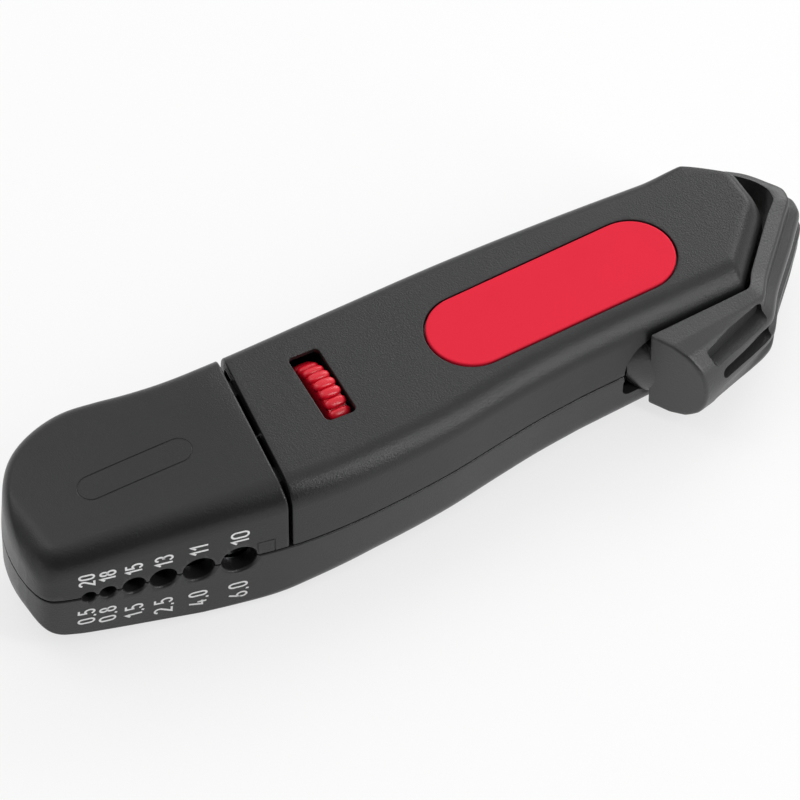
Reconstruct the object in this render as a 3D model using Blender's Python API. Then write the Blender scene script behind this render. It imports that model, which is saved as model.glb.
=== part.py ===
"""Cable knife: two moulded housing halves, a hinged wire-stripping jaw at the
nose, and a sheath blade behind a sliding spring bail at the tail, with its
depth set by a thumb wheel.

Lengths are in metres. The pieces are drawn in the tool's own frame: X along
the grip towards the tail, Y across it, Z = 0 on the parting plane. An empty
tips that frame so that the flat underside lies level on Z = 0.
"""
import math

import bmesh
import bpy
from mathutils import Matrix, Vector

for item in list(bpy.data.objects):
    bpy.data.objects.remove(item, do_unlink=True)

# Clearances
TOUCH_GAP = 0.0003
PARTING_GAP = 0.0003
SLIDE_GAP = 0.0003

# Housing outline
NOSE_X = -0.0629
TAIL_X = 0.0692
HALF_HEIGHT = 0.0122
TAPER = math.radians(1.4)
NOSE_DROP = 0.0050
NOSE_DROP_POWER = 1.3
NOSE_ROUND = 0.0040
TAIL_ROUND = 0.0026
EDGE_FILLET = 0.0044
FAR_FILLET = 0.0027
JAW_FOOT_FILLET = 0.0006
LOWER_NEAR_FILLET = (
    (-0.0380, JAW_FOOT_FILLET),
    (-0.0280, 0.0018),
    (-0.0200, 0.0034),
    (-0.0095, EDGE_FILLET),
)
LEAST_FILLET = 0.0006
FILLET_WIDTH_SHARE = 0.40
FILLET_HEIGHT_SHARE = 0.80
WALL_DRAFT = 0.00035
DRAFT_WIDTH_SHARE = 0.05
WALL = 0.0020
ROOF = 0.0026
FILLET_STEPS = 4
NEAR_WALL_REAR = -0.0061
NEAR_WALL = (
    (NOSE_X, 0.0066),
    (NOSE_X + 0.0004, 0.0042),
    (NOSE_X + 0.0013, 0.0025),
    (NOSE_X + 0.0026, 0.0016),
    (NOSE_X + 0.0046, 0.0008),
    (-0.0558, 0.0000),
    (-0.0440, -0.0029),
    (-0.0324, -0.0058),
    (-0.0240, -0.0077),
    (-0.0160, -0.0086),
    (-0.0070, -0.0088),
    (0.0040, -0.0084),
    (0.0140, -0.0073),
    (0.0220, -0.0065),
    (0.0300, NEAR_WALL_REAR),
)
NEAR_CHAMFER = 0.0100
FAR_WALL = (
    (NOSE_X, 0.0095),
    (NOSE_X + 0.0004, 0.0125),
    (NOSE_X + 0.0011, 0.0152),
    (NOSE_X + 0.0022, 0.0180),
    (NOSE_X + 0.0043, 0.0215),
    (NOSE_X + 0.0068, 0.0242),
    (NOSE_X + 0.0102, 0.0261),
    (-0.0485, 0.0271),
    (-0.0445, 0.0271),
    (-0.0400, 0.0260),
    (-0.0350, 0.0245),
    (-0.0290, 0.0232),
    (-0.0220, 0.0225),
    (0.0000, 0.0221),
    (0.0200, 0.0217),
    (0.0400, 0.0206),
    (0.0620, 0.0188),
)
FAR_CORNER_START = TAIL_X - 0.0068
FAR_CORNER_Y = 0.0132
FAR_CORNER_POWER = 1.15

# X of the cross-sections between the rounded ends
SECTION_MARKS = (
    -0.0558, -0.0520, -0.0480, -0.0440, -0.0400, -0.0360, -0.0320, -0.0280, -0.0240,
    -0.0190, -0.0140, -0.0080, 0.0000, 0.0080, 0.0150, 0.0220, 0.0300, 0.0400, 0.0500,
    TAIL_X - NEAR_CHAMFER,
    FAR_CORNER_START,
)
SECTION_SPACING = 0.0004

# Joint between the jaw and the upper shell
JAW_GAP_X = -0.0229
JAW_GAP_TURN = math.radians(9.3)
JAW_GAP = 0.0011
PIN_BEHIND_GAP = 0.0040
PIN_BELOW_TOP = 0.0051
PIN_RADIUS = 0.0012
PIN_SEAT_DEPTH = 0.0006
EYE_RADIUS = 0.0023
ARM_THICKNESS = 0.0030
ARM_SPACING = 0.0180
ARM_REACH = 0.0055
ARM_DEPTH = 0.0020
ARM_EYE_STEPS = 5
SHELL_OVERLAP = 0.0020
LID_OVERLAP = 0.0060

# Wire-stripping jaw: distance along the wall, mouth and conductor diameters
JAW_BAR = 0.0085
BAR_END_X = -0.0288
HOLE_LINE_START = (-0.0558, 0.0)
HOLE_LINE_TURN = math.radians(-13.8)
WIRE_HOLES = (
    (0.0000, 0.0027, 0.00080),
    (0.0031, 0.0033, 0.00100),
    (0.0073, 0.0044, 0.00138),
    (0.0120, 0.0051, 0.00178),
    (0.0177, 0.0059, 0.00226),
    (0.0242, 0.0065, 0.00276),
)
INSULATION = 0.00075
FUNNEL_DEPTH = 0.0013
FUNNEL_OUTSIDE = 0.0015
HOLE_SIDES = 12
STRIP_BLADE_INSET = 0.0036
STRIP_BLADE_THICKNESS = 0.0007
STRIP_BLADE_HEIGHT = 0.0052
STRIP_BLADE_MARGIN = 0.0027
BLADE_SLOT_OVERRUN = 0.0030

# Depth wheel and spindle
WHEEL_CENTRE = (-0.0087, 0.0088, 0.0036)
WHEEL_RADIUS = 0.0092
WHEEL_WIDTH = 0.0040
WHEEL_RIBS = 30
WHEEL_RIB_DEPTH = 0.0004
WHEEL_SHOULDER = 0.0009
WHEEL_SLOT_CENTRE = (-0.0087, 0.0087)
WHEEL_SLOT_LENGTH = 0.0136
WHEEL_SLOT_WIDTH = 0.0052
WHEEL_SLOT_CORNER = 0.0009
WHEEL_SLOT_TURN = math.radians(4.5)
BLADE_EXIT = (TAIL_X, 0.0070, 0.0)
THREAD_RADIUS = 0.0024
THREAD_START = -0.0068
THREAD_END = 0.0100
THREAD_CHAMFER = 0.0004
SPINDLE_RADIUS = 0.0018
SLEEVE_SIDE = 0.0060
SLEEVE_LENGTH = 0.0160
SLEEVE_END_INSET = 0.0094
SEAT_WEB = 0.0020
SPINDLE_SEAT = (SLEEVE_LENGTH - SEAT_WEB) / 2
SPINDLE_TRAVEL = 0.0024
SLEEVE_PIN_RADIUS = 0.0006
POST_RADIUS = 0.0014
POST_SEAT = (SLEEVE_LENGTH - SEAT_WEB) / 2
HEAD_RADIUS = 0.0021
HEAD_INSET = 0.0025
CLIP_THICKNESS = 0.0005
CLIP_RIM = 0.0005
BUSH_WALL = 0.0007
BUSH_LENGTH = SLEEVE_END_INSET - SPINDLE_TRAVEL - TOUCH_GAP
SHEATH_BLADE_THICKNESS = 0.0006
SHEATH_BLADE_LENGTH = 0.0060
SHEATH_BLADE_HALF_WIDTH = 0.0012
SHEATH_BLADE_PROUD = 0.0021
BLADE_PIN_RADIUS = 0.0004

# Inner ribs: low and high X of each pocket between them
JAW_POCKET_START = NOSE_X + 0.0034
BAR_END_SLOPE = 0.0004
POCKET_HINGE_END = -0.0133
WHEEL_POCKET_HALF = 0.0026
RIB_B_END = -0.0034
RIB_C = (TAIL_X - 0.0367, TAIL_X - 0.0322)
TAIL_BLOCK_X = TAIL_X - 0.0112

# Grip inlay
INLAY_CENTRE = (0.0314, 0.00635)
INLAY_STRAIGHT = 0.0294
INLAY_RADIUS = 0.0070
INLAY_RECESS = 0.0012
INLAY_PROUD = 0.00015
INLAY_EDGE = 0.0003

# Sliding bail: plan points on its inner face and on its outer mid-line, from
# the corner at (TAIL_X, NEAR_WALL_REAR), and how much of the thumb rest's
# round form each section has
BAIL_HALF_HEIGHT = 0.0080
BAIL_PLAN = (
    (-0.0277, -SLIDE_GAP, -0.0229, -0.0097, 1.00),
    (-0.0242, -SLIDE_GAP, -0.0198, -0.0090, 0.96),
    (-0.0192, -SLIDE_GAP, -0.0156, -0.0078, 0.82),
    (-0.0142, -SLIDE_GAP, -0.0116, -0.0066, 0.50),
    (-0.0100, -SLIDE_GAP, -0.0078, -0.0051, 0.15),
    (-0.0070, 0.0027, -0.0037, -0.0005, 0.00),
    (0.0006, 0.0103, 0.0040, 0.0070, 0.00),
    (0.0034, 0.0130, 0.0077, 0.0113, 0.00),
    (0.0036, 0.0145, 0.0082, 0.0136, 0.00),
    (0.0030, 0.0165, 0.0060, 0.0175, 0.00),
    (0.0013, 0.0190, 0.0038, 0.0206, 0.00),
    (-0.0009, 0.0212, 0.0007, 0.0228, 0.00),
)
BAIL_SECTIONS = tuple(
    (TAIL_X + a, NEAR_WALL_REAR + b, TAIL_X + c, NEAR_WALL_REAR + d, share)
    for a, b, c, d, share in BAIL_PLAN
)
BAIL_TOP_SHARE = 0.60
BAIL_GROOVE = 0.0008
BAIL_TOP_EDGE = 0.0004

# Slots in the thumb rest: height of the middle, start and end
THUMB_SLOTS = (
    (-0.0052, TAIL_X - 0.0200, TAIL_X - 0.0090),
    (0.0000, TAIL_X - 0.0188, TAIL_X - 0.0080),
    (0.0052, TAIL_X - 0.0200, TAIL_X - 0.0090),
)
THUMB_SLOT_HEIGHTS = (0.0024, 0.0016)
THUMB_SLOT_DEPTH = 0.0030

# Recess and foot that guide the bail
RECESS_LEFT_X = TAIL_X - 0.0319
RECESS_RADIUS = 0.0062
RECESS_DEPTH = 0.0012
FOOT_START = TAIL_X - 0.0274
FOOT_LENGTH = 0.0142
FOOT_HALF_HEIGHT = 0.0045
FOOT_ROOT = 0.0005
FOOT_INNER_Y = 0.0008

# Bail guide rod and return spring
ROD_Y = -0.0010
ROD_RADIUS = 0.0015
ROD_FRONT_X = -0.0030
ROD_HEAD_RADIUS = 0.0026
ROD_HEAD_LENGTH = 0.0012
ROD_SEAT = 0.0080
ROD_PIN_RADIUS = 0.0006
WASHER_THICKNESS = 0.0008
WASHER_RADIUS = 0.0029
ROD_BUSH_WALL = 0.0008
ROD_BUSH_FLANGE = 0.0008
SPRING_WIRE = 0.00035
SPRING_TURNS = 9

# Lid spring
LID_SPRING_WIRE = 0.0003
LID_SPRING_TURNS = 3
LID_SPRING_PITCH = 0.0008
LID_SPRING_FRONT_LEG = 0.0060
LID_SPRING_REAR_LEG = 0.0032

# Housing screws, driven from below: X, Y
SCREWS = ((0.0008, 0.0166), (0.0300, 0.0156), (0.0606, 0.0134))
SCREW_RADIUS = 0.0012
SCREW_HEAD_RADIUS = 0.0025
SCREW_HEAD_HEIGHT = 0.0015
SCREW_REACH = 0.0060
BOSS_RADIUS = 0.0030
COUNTERBORE_DEPTH = 0.0026

REACH = 0.0300

MATERIALS = {
    "charcoal_plastic": ((0.055, 0.056, 0.058), 0.52, 0.0),
    "bail_plastic": ((0.075, 0.076, 0.079), 0.48, 0.0),
    "red_plastic": ((0.70, 0.020, 0.045), 0.50, 0.0),
    "wheel_red": ((0.66, 0.010, 0.030), 0.38, 0.0),
    "steel": ((0.56, 0.57, 0.58), 0.32, 1.0),
    "blade_steel": ((0.66, 0.67, 0.69), 0.22, 1.0),
    "brass": ((0.72, 0.52, 0.22), 0.34, 1.0),
    "zinc_screw": ((0.50, 0.51, 0.52), 0.38, 1.0),
}


def make_material(name):
    colour, roughness, metallic = MATERIALS[name]
    material = bpy.data.materials.new(name)
    material.use_nodes = True
    shader = material.node_tree.nodes["Principled BSDF"]
    shader.inputs["Base Color"].default_value = (*colour, 1.0)
    shader.inputs["Roughness"].default_value = roughness
    shader.inputs["Metallic"].default_value = metallic
    return material


materials = {name: make_material(name) for name in MATERIALS}


def smooth_curve(knots, x):
    """Height at x of a smooth curve through the knots."""
    if x <= knots[0][0]:
        return knots[0][1]
    for i in range(len(knots) - 1):
        if x <= knots[i + 1][0]:
            break
    else:
        return knots[-1][1]

    def slope(k):
        low = knots[max(k - 1, 0)]
        high = knots[min(k + 1, len(knots) - 1)]
        return (high[1] - low[1]) / (high[0] - low[0])

    span = knots[i + 1][0] - knots[i][0]
    t = (x - knots[i][0]) / span
    start = knots[i][1] * (1 + 2 * t) * (1 - t) ** 2 + slope(i) * span * t * (1 - t) ** 2
    end = knots[i + 1][1] * t * t * (3 - 2 * t) + slope(i + 1) * span * t * t * (t - 1)
    return start + end


def near_wall(x):
    chamfer_start = TAIL_X - NEAR_CHAMFER
    if x > chamfer_start:
        return NEAR_WALL_REAR + x - chamfer_start
    if x > NEAR_WALL[-1][0]:
        return NEAR_WALL_REAR
    return smooth_curve(NEAR_WALL, x)


def far_wall(x):
    if x <= FAR_CORNER_START:
        return smooth_curve(FAR_WALL, x)
    start = smooth_curve(FAR_WALL, FAR_CORNER_START)
    share = (x - FAR_CORNER_START) / (TAIL_X - FAR_CORNER_START)
    return FAR_CORNER_Y + (start - FAR_CORNER_Y) * (1 - min(share, 1.0) ** FAR_CORNER_POWER)


def flat_height(x):
    return HALF_HEIGHT - math.tan(TAPER) * x


def end_drop(distance, radius):
    """Drop of a rounded edge at this distance from the end face."""
    if distance >= radius:
        return 0.0
    return radius - math.sqrt(max(radius ** 2 - (radius - distance) ** 2, 0.0))


def half_height(x):
    height = flat_height(x)
    if x < JAW_GAP_X:
        share = (JAW_GAP_X - x) / (JAW_GAP_X - NOSE_X)
        height -= NOSE_DROP * min(share, 1.0) ** NOSE_DROP_POWER
    height -= end_drop(x - NOSE_X, NOSE_ROUND)
    return height - end_drop(TAIL_X - x, TAIL_ROUND)


def near_fillet(x, side):
    """Fillet on the near edge: the lower half's is small below the jaw."""
    return EDGE_FILLET if side > 0 else smooth_curve(LOWER_NEAR_FILLET, x)


def half_section(x, side, near_inset, far_inset, top_inset, foot):
    """Half cross-section from the parting plane over the top and back."""
    near = near_wall(x) + near_inset
    far = far_wall(x) - far_inset
    top = half_height(x) - top_inset
    inset = min(near_inset, far_inset)
    width = far - near
    largest = min(FILLET_WIDTH_SHARE * width, FILLET_HEIGHT_SHARE * top)
    near_radius = min(max(near_fillet(x, side) - inset, LEAST_FILLET), largest)
    far_radius = min(max(FAR_FILLET - inset, LEAST_FILLET), largest)
    draft = WALL_DRAFT if inset == 0.0 else 0.0
    draft = min(draft, DRAFT_WIDTH_SHARE * width)
    points = [(near, foot)]
    for step in range(FILLET_STEPS + 1):
        angle = math.pi / 2 * step / FILLET_STEPS
        y = near + draft + near_radius * (1 - math.cos(angle))
        points.append((y, top - near_radius * (1 - math.sin(angle))))
    for step in range(FILLET_STEPS, -1, -1):
        angle = math.pi / 2 * step / FILLET_STEPS
        y = far - draft - far_radius * (1 - math.cos(angle))
        points.append((y, top - far_radius * (1 - math.sin(angle))))
    points.append((far, foot))
    return [Vector((x, y, side * z)) for y, z in points]


def stations(low, high):
    """X values that follow the outline's curves between two ends."""
    marks = [NOSE_X + NOSE_ROUND * (1 - math.cos(math.radians(a))) for a in (0, 25, 45, 65, 90)]
    marks += SECTION_MARKS
    marks += [TAIL_X - TAIL_ROUND * (1 - math.sin(math.radians(a))) for a in (0, 35, 65, 90)]
    first = low + SECTION_SPACING
    last = high - SECTION_SPACING
    inner = [mark for mark in sorted(marks) if first < mark < last]
    return [low] + inner + [high]


def wall_all_round(x):
    return WALL


def bar_then_wall(x):
    """Near wall's thickness inside: the solid jaw bar, then a plain wall."""
    return JAW_BAR if x <= BAR_END_X else WALL


def new_mesh_from_rings(rings):
    """Closed solid through rings of equal length, with flat ends."""
    mesh = bmesh.new()
    loops = [[mesh.verts.new(point) for point in ring] for ring in rings]
    count = len(rings[0])
    for first, second in zip(loops, loops[1:]):
        for i in range(count):
            j = (i + 1) % count
            mesh.faces.new((first[i], first[j], second[j], second[i]))
    mesh.faces.new(loops[0])
    mesh.faces.new(loops[-1])
    bmesh.ops.recalc_face_normals(mesh, faces=mesh.faces)
    return mesh


def half_body(low, high, side):
    """Half of the housing's outer form between two X values."""
    foot = PARTING_GAP / 2
    rings = [half_section(x, side, 0.0, 0.0, 0.0, foot) for x in stations(low, high)]
    return new_mesh_from_rings(rings)


def half_pocket(low, high, side, near_at, roof):
    """Hollow of one half between two X values, open past the parting plane."""
    marks = stations(low, high)
    if low < BAR_END_X < high:
        marks = sorted(marks + [BAR_END_X, BAR_END_X + BAR_END_SLOPE])
    rings = [half_section(x, side, near_at(x), WALL, roof, -WALL) for x in marks]
    return new_mesh_from_rings(rings)


def add_mesh(mesh, other):
    """Put another solid into a mesh, as a separate body."""
    points = {vert: mesh.verts.new(vert.co) for vert in other.verts}
    for face in other.faces:
        mesh.faces.new([points[vert] for vert in face.verts])
    other.free()


def prism(outline, low, high):
    """Outline of (x, y) points drawn up from z = low to z = high."""
    rings = [[Vector((x, y, z)) for x, y in outline] for z in (low, high)]
    return new_mesh_from_rings(rings)


def box(low, high):
    outline = ((low[0], low[1]), (high[0], low[1]), (high[0], high[1]), (low[0], high[1]))
    return prism(outline, low[2], high[2])


def turned(profile, sides):
    """Solid of revolution about X from (x, radius) points, closed at both ends."""
    rings = []
    for x, radius in profile:
        ring = []
        for i in range(sides):
            angle = 2 * math.pi * (i + 0.5) / sides
            ring.append(Vector((x, radius * math.cos(angle), radius * math.sin(angle))))
        rings.append(ring)
    return new_mesh_from_rings(rings)


def turned_ring(profile, sides):
    """Solid of revolution about X from a closed (x, radius) outline."""
    mesh = bmesh.new()
    loops = []
    for x, radius in profile:
        loop = []
        for i in range(sides):
            angle = 2 * math.pi * (i + 0.5) / sides
            loop.append(mesh.verts.new((x, radius * math.cos(angle), radius * math.sin(angle))))
        loops.append(loop)
    for k, first in enumerate(loops):
        second = loops[(k + 1) % len(loops)]
        for i in range(sides):
            j = (i + 1) % sides
            mesh.faces.new((first[i], first[j], second[j], second[i]))
    bmesh.ops.recalc_face_normals(mesh, faces=mesh.faces)
    return mesh


def rod(start, end, radius, sides=12):
    return turned(((start, radius), (end, radius)), sides)


def tube(start, end, inner, outer, sides=16):
    return turned_ring(((start, inner), (start, outer), (end, outer), (end, inner)), sides)


def wire(points, radius, sides=5):
    """Round wire through points, with square-cut ends."""
    rings = []
    normal = None
    for i, point in enumerate(points):
        ahead = points[min(i + 1, len(points) - 1)]
        behind = points[max(i - 1, 0)]
        along = (ahead - behind).normalized()
        if normal is None:
            normal = along.orthogonal().normalized()
        normal = (normal - along * normal.dot(along)).normalized()
        across = along.cross(normal)
        ring = []
        for k in range(sides):
            angle = 2 * math.pi * k / sides
            ring.append(point + radius * (math.cos(angle) * normal + math.sin(angle) * across))
        rings.append(ring)
    return new_mesh_from_rings(rings)


def rounded_outline(length, width, radius, steps):
    """Rectangle about the origin with round corners, counter-clockwise."""
    points = []
    corners = ((1, 1, 0), (-1, 1, 90), (-1, -1, 180), (1, -1, 270))
    for side_x, side_y, start in corners:
        for step in range(steps + 1):
            angle = math.radians(start + 90 * step / steps)
            x = side_x * (length / 2 - radius) + radius * math.cos(angle)
            y = side_y * (width / 2 - radius) + radius * math.sin(angle)
            points.append((x, y))
    return points


def stadium(straight, radius, steps=8):
    points = []
    for side, start in ((1, -90), (-1, 90)):
        for step in range(steps + 1):
            angle = math.radians(start + 180 * step / steps)
            points.append((side * straight / 2 + radius * math.cos(angle), radius * math.sin(angle)))
    return points


# Frames of the tool and of its joints, as matrices in the tool frame
def along_line(start, end):
    """Frame at start whose X runs to end and whose Z stays upright."""
    x_axis = (Vector(end) - Vector(start)).normalized()
    y_axis = Vector((0, 0, 1)).cross(x_axis).normalized()
    z_axis = x_axis.cross(y_axis)
    turn = Matrix((x_axis, y_axis, z_axis)).transposed().to_4x4()
    return Matrix.Translation(start) @ turn


SPINDLE_FRAME = along_line(WHEEL_CENTRE, BLADE_EXIT)
EXIT_U = (Vector(BLADE_EXIT) - Vector(WHEEL_CENTRE)).length
pin_mid_y = (near_wall(JAW_GAP_X) + far_wall(JAW_GAP_X)) / 2
pin_mid_x = JAW_GAP_X + pin_mid_y * math.tan(JAW_GAP_TURN) + PIN_BEHIND_GAP
GAP_DISTANCE = PIN_BEHIND_GAP * math.cos(JAW_GAP_TURN)
PIN_CENTRE = (pin_mid_x, pin_mid_y, flat_height(pin_mid_x) - PIN_BELOW_TOP)
LID_FRAME = Matrix.Translation(PIN_CENTRE) @ Matrix.Rotation(-JAW_GAP_TURN, 4, "Z")
BAIL_FRAME = Matrix.Translation((FOOT_START, ROD_Y, 0.0))
inlay_place = (*INLAY_CENTRE, flat_height(INLAY_CENTRE[0]))
INLAY_FRAME = Matrix.Translation(inlay_place) @ Matrix.Rotation(TAPER, 4, "Y")
IDENTITY = Matrix.Identity(4)

outer_points = [Vector(section[2:4]) for section in BAIL_SECTIONS]
LOW_Y = min(point.y for point in outer_points)
HIGH_X = max(point.x for point in outer_points)
HIGH_Y = max(y for x, y in FAR_WALL)
TOOL_FRAME = Matrix.Translation(
    (
        -(NOSE_X + HIGH_X) / 2 * math.cos(TAPER),
        -(LOW_Y + HIGH_Y) / 2,
        HALF_HEIGHT * math.cos(TAPER),
    )
) @ Matrix.Rotation(TAPER, 4, "Y")


ACROSS = Matrix.Rotation(math.pi / 2, 4, "Z")


def upright(x, y, z):
    """Frame at a point in plan whose X runs straight up."""
    return Matrix.Translation((x, y, z)) @ Matrix.Rotation(-math.pi / 2, 4, "Y")


def downward(frame, along):
    """Frame some way along another one, with its X turned downward."""
    return frame @ Matrix.Translation((along, 0.0, 0.0)) @ Matrix.Rotation(math.pi / 2, 4, "Y")


def add_empty(name, frame, parent):
    empty = bpy.data.objects.new(name, None)
    empty.empty_display_size = 0.005
    bpy.context.collection.objects.link(empty)
    empty.parent = parent
    empty.matrix_local = frame
    return empty


tool = add_empty("tool_axis", TOOL_FRAME, None)
empties = {
    "housing": (add_empty("housing_axis", IDENTITY, tool), IDENTITY),
    "lid": (add_empty("lid_axis", LID_FRAME, tool), LID_FRAME),
    "spindle": (add_empty("spindle_axis", SPINDLE_FRAME, tool), SPINDLE_FRAME),
    "bail": (add_empty("bail_axis", BAIL_FRAME, tool), BAIL_FRAME),
    "inlay": (add_empty("inlay_axis", INLAY_FRAME, tool), INLAY_FRAME),
}


def place(name, mesh, material, group, drawn_in=None):
    """Object from a mesh drawn in drawn_in's frame, or in its group's own."""
    empty, frame = empties[group]
    source = frame if drawn_in is None else drawn_in
    mesh.transform(frame.inverted() @ source)
    bmesh.ops.triangulate(mesh, faces=mesh.faces)
    data = bpy.data.meshes.new(name)
    mesh.to_mesh(data)
    mesh.free()
    if material:
        data.materials.append(materials[material])
    item = bpy.data.objects.new(name, data)
    bpy.context.collection.objects.link(item)
    item.parent = empty
    return item


def cutter(name, mesh, drawn_in=IDENTITY):
    item = place(name, mesh, None, "housing", drawn_in)
    item.hide_render = True
    item.display_type = "WIRE"
    return item


def apply_tools(item, tools, operation):
    for tool_item in tools:
        modifier = item.modifiers.new(tool_item.name, "BOOLEAN")
        modifier.operation = operation
        modifier.solver = "EXACT"
        modifier.object = tool_item


def cut(item, *tools):
    apply_tools(item, tools, "DIFFERENCE")


def join(item, *tools):
    apply_tools(item, tools, "UNION")


def make_round(*items):
    for item in items:
        item.data.shade_smooth()
        item.data.set_sharp_from_angle(angle=math.radians(35))


def gap_block(side):
    """All that lies in front of the jaw's gap (side 1) or behind it (side -1)."""
    face = side * JAW_GAP / 2 - GAP_DISTANCE
    low, high = sorted((face, face - side * REACH))
    return box((low, -REACH, -REACH), (high, REACH, REACH))


def cavity(name, low, high, side, near_at=wall_all_round, roof=WALL):
    return cutter(name, half_pocket(low, high, side, near_at, roof))


def hole_point(distance, depth):
    """Point in plan, a distance along the hole line and a depth inside it."""
    along = Vector((math.cos(HOLE_LINE_TURN), math.sin(HOLE_LINE_TURN)))
    inward = Vector((-along.y, along.x))
    return Vector(HOLE_LINE_START) + along * distance + inward * depth


def hole_frame(distance):
    """Frame on the near wall whose X runs straight into a wire hole."""
    return along_line((*hole_point(distance, 0.0), 0.0), (*hole_point(distance, JAW_BAR), 0.0))


def wire_hole_cutters():
    tools = []
    for index, (distance, mouth, conductor) in enumerate(WIRE_HOLES):
        bore = conductor / 2 + INSULATION
        slope = (mouth / 2 - bore) / FUNNEL_DEPTH
        profile = (
            (-FUNNEL_OUTSIDE, mouth / 2 + slope * FUNNEL_OUTSIDE),
            (FUNNEL_DEPTH, bore),
            (JAW_BAR + WALL, bore),
        )
        mesh = turned(profile, HOLE_SIDES)
        tools.append(cutter(f"wire_hole_cutter_{index + 1}", mesh, hole_frame(distance)))
    return tools


def strip_blade_box(side, clearance):
    """Blade strip across the wire holes, or the slot it sits in."""
    length = WIRE_HOLES[-1][0] + 2 * STRIP_BLADE_MARGIN
    half = STRIP_BLADE_THICKNESS / 2 + clearance
    foot = PARTING_GAP / 2
    top = foot + STRIP_BLADE_HEIGHT + clearance
    if clearance:
        foot -= BLADE_SLOT_OVERRUN
    low, high = sorted((side * foot, side * top))
    return box(
        (STRIP_BLADE_INSET - half, -length + STRIP_BLADE_MARGIN - clearance, low),
        (STRIP_BLADE_INSET + half, STRIP_BLADE_MARGIN + clearance, high),
    )


def strip_blade(name, side, group):
    item = place(name, strip_blade_box(side, 0.0), "blade_steel", group, hole_frame(0.0))
    for index, (distance, _, conductor) in enumerate(WIRE_HOLES):
        start = STRIP_BLADE_INSET - STRIP_BLADE_THICKNESS
        mesh = rod(start, start + 2 * STRIP_BLADE_THICKNESS, conductor / 2 + PARTING_GAP / 2, 16)
        cut(item, cutter(f"{name}_notch_{index + 1}", mesh, hole_frame(distance)))
    return item


def screw_boss(name, x, y, side):
    top = half_height(x) - WALL / 2
    low, high = sorted((side * PARTING_GAP / 2, side * top))
    return cutter(name, rod(0.0, high - low, BOSS_RADIUS, 12), upright(x, y, low))


def screw_hole(name, x, y):
    """Counterbore from below and one straight hole up into the upper boss."""
    bottom = -half_height(x)
    seat = bottom + COUNTERBORE_DEPTH
    head = SCREW_HEAD_RADIUS + TOUCH_GAP
    shank = SCREW_RADIUS + TOUCH_GAP
    profile = (
        (bottom - WALL, head),
        (seat, head),
        (seat, shank),
        (SCREW_REACH + TOUCH_GAP, shank),
    )
    return cutter(name, turned(profile, 12), upright(x, y, 0.0))


def housing_screw(name, x, y):
    seat = -half_height(x) + COUNTERBORE_DEPTH - TOUCH_GAP
    profile = (
        (seat - SCREW_HEAD_HEIGHT, SCREW_HEAD_RADIUS * 0.8),
        (seat - SCREW_HEAD_HEIGHT * 0.7, SCREW_HEAD_RADIUS),
        (seat, SCREW_HEAD_RADIUS),
        (seat, SCREW_RADIUS),
        (SCREW_REACH - SCREW_RADIUS, SCREW_RADIUS),
        (SCREW_REACH, SCREW_RADIUS * 0.3),
    )
    item = place(name, turned(profile, 16), "zinc_screw", "housing", upright(x, y, 0.0))
    make_round(item)
    return item


def spindle_saddle(name, low, high):
    """Tongue of the lower rib that carries the spindle from below."""
    middle = SPINDLE_FRAME @ Vector(((low + high) / 2 - WHEEL_CENTRE[0], 0.0, 0.0))
    half = THREAD_RADIUS
    return cutter(name, box((low, middle.y - half, -WALL), (high, middle.y + half, middle.z)))


def rib_slot(name, low, high, radius):
    """Slot below the spindle in an upper rib, so that the halves can close."""
    middle = SPINDLE_FRAME @ Vector(((low + high) / 2 - WHEEL_CENTRE[0], 0.0, 0.0))
    half = radius + SLIDE_GAP
    return cutter(name, box((low, middle.y - half, -WALL), (high, middle.y + half, middle.z)))


# Cutters shared by the shells and the jaw
hole_tools = wire_hole_cutters()
wheel_low = WHEEL_CENTRE[0] - WHEEL_POCKET_HALF
wheel_high = WHEEL_CENTRE[0] + WHEEL_POCKET_HALF
SLEEVE_END = EXIT_U - SLEEVE_END_INSET
SLEEVE_START = SLEEVE_END - SLEEVE_LENGTH
SPINDLE_END = SLEEVE_START + SPINDLE_SEAT

spindle_bore = cutter(
    "spindle_bore_cutter",
    turned(
        (
            (THREAD_START - SLIDE_GAP, THREAD_RADIUS + SLIDE_GAP),
            (THREAD_END + WALL, THREAD_RADIUS + SLIDE_GAP),
            (THREAD_END + WALL, SPINDLE_RADIUS + SLIDE_GAP),
            (SLEEVE_START, SPINDLE_RADIUS + SLIDE_GAP),
        ),
        16,
    ),
    SPINDLE_FRAME,
)
sleeve_half = SLEEVE_SIDE / 2 + SLIDE_GAP
bush_start = EXIT_U - BUSH_LENGTH
sleeve_channel = cutter(
    "sleeve_channel_cutter",
    box(
        (SLEEVE_START - WALL, -sleeve_half, -sleeve_half),
        (bush_start + TOUCH_GAP, sleeve_half, sleeve_half),
    ),
    SPINDLE_FRAME,
)
bush_outer = HEAD_RADIUS + SLIDE_GAP + BUSH_WALL
bush_bore = cutter(
    "bush_bore_cutter",
    rod(bush_start - TOUCH_GAP, EXIT_U + WALL, bush_outer + TOUCH_GAP, 20),
    SPINDLE_FRAME,
)
rod_line = Matrix.Translation((0.0, ROD_Y, 0.0))
rod_bush_outer = ROD_RADIUS + SLIDE_GAP + ROD_BUSH_WALL
rod_bush_bore = cutter(
    "rod_bush_bore_cutter",
    rod(RIB_C[0] - WALL, RIB_C[1] + WALL, rod_bush_outer + TOUCH_GAP, 16),
    rod_line,
)
channel_half = FOOT_HALF_HEIGHT + SLIDE_GAP
foot_channel = cutter(
    "foot_channel_cutter",
    box(
        (FOOT_START - 2 * SLIDE_GAP, -REACH, -channel_half),
        (TAIL_X + WALL, FOOT_INNER_Y + SLIDE_GAP, channel_half),
    ),
)
recess_outline = [
    (x + RECESS_LEFT_X + RECESS_RADIUS, z)
    for x, z in stadium(2 * RECESS_RADIUS, RECESS_RADIUS, 8)
]
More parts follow.
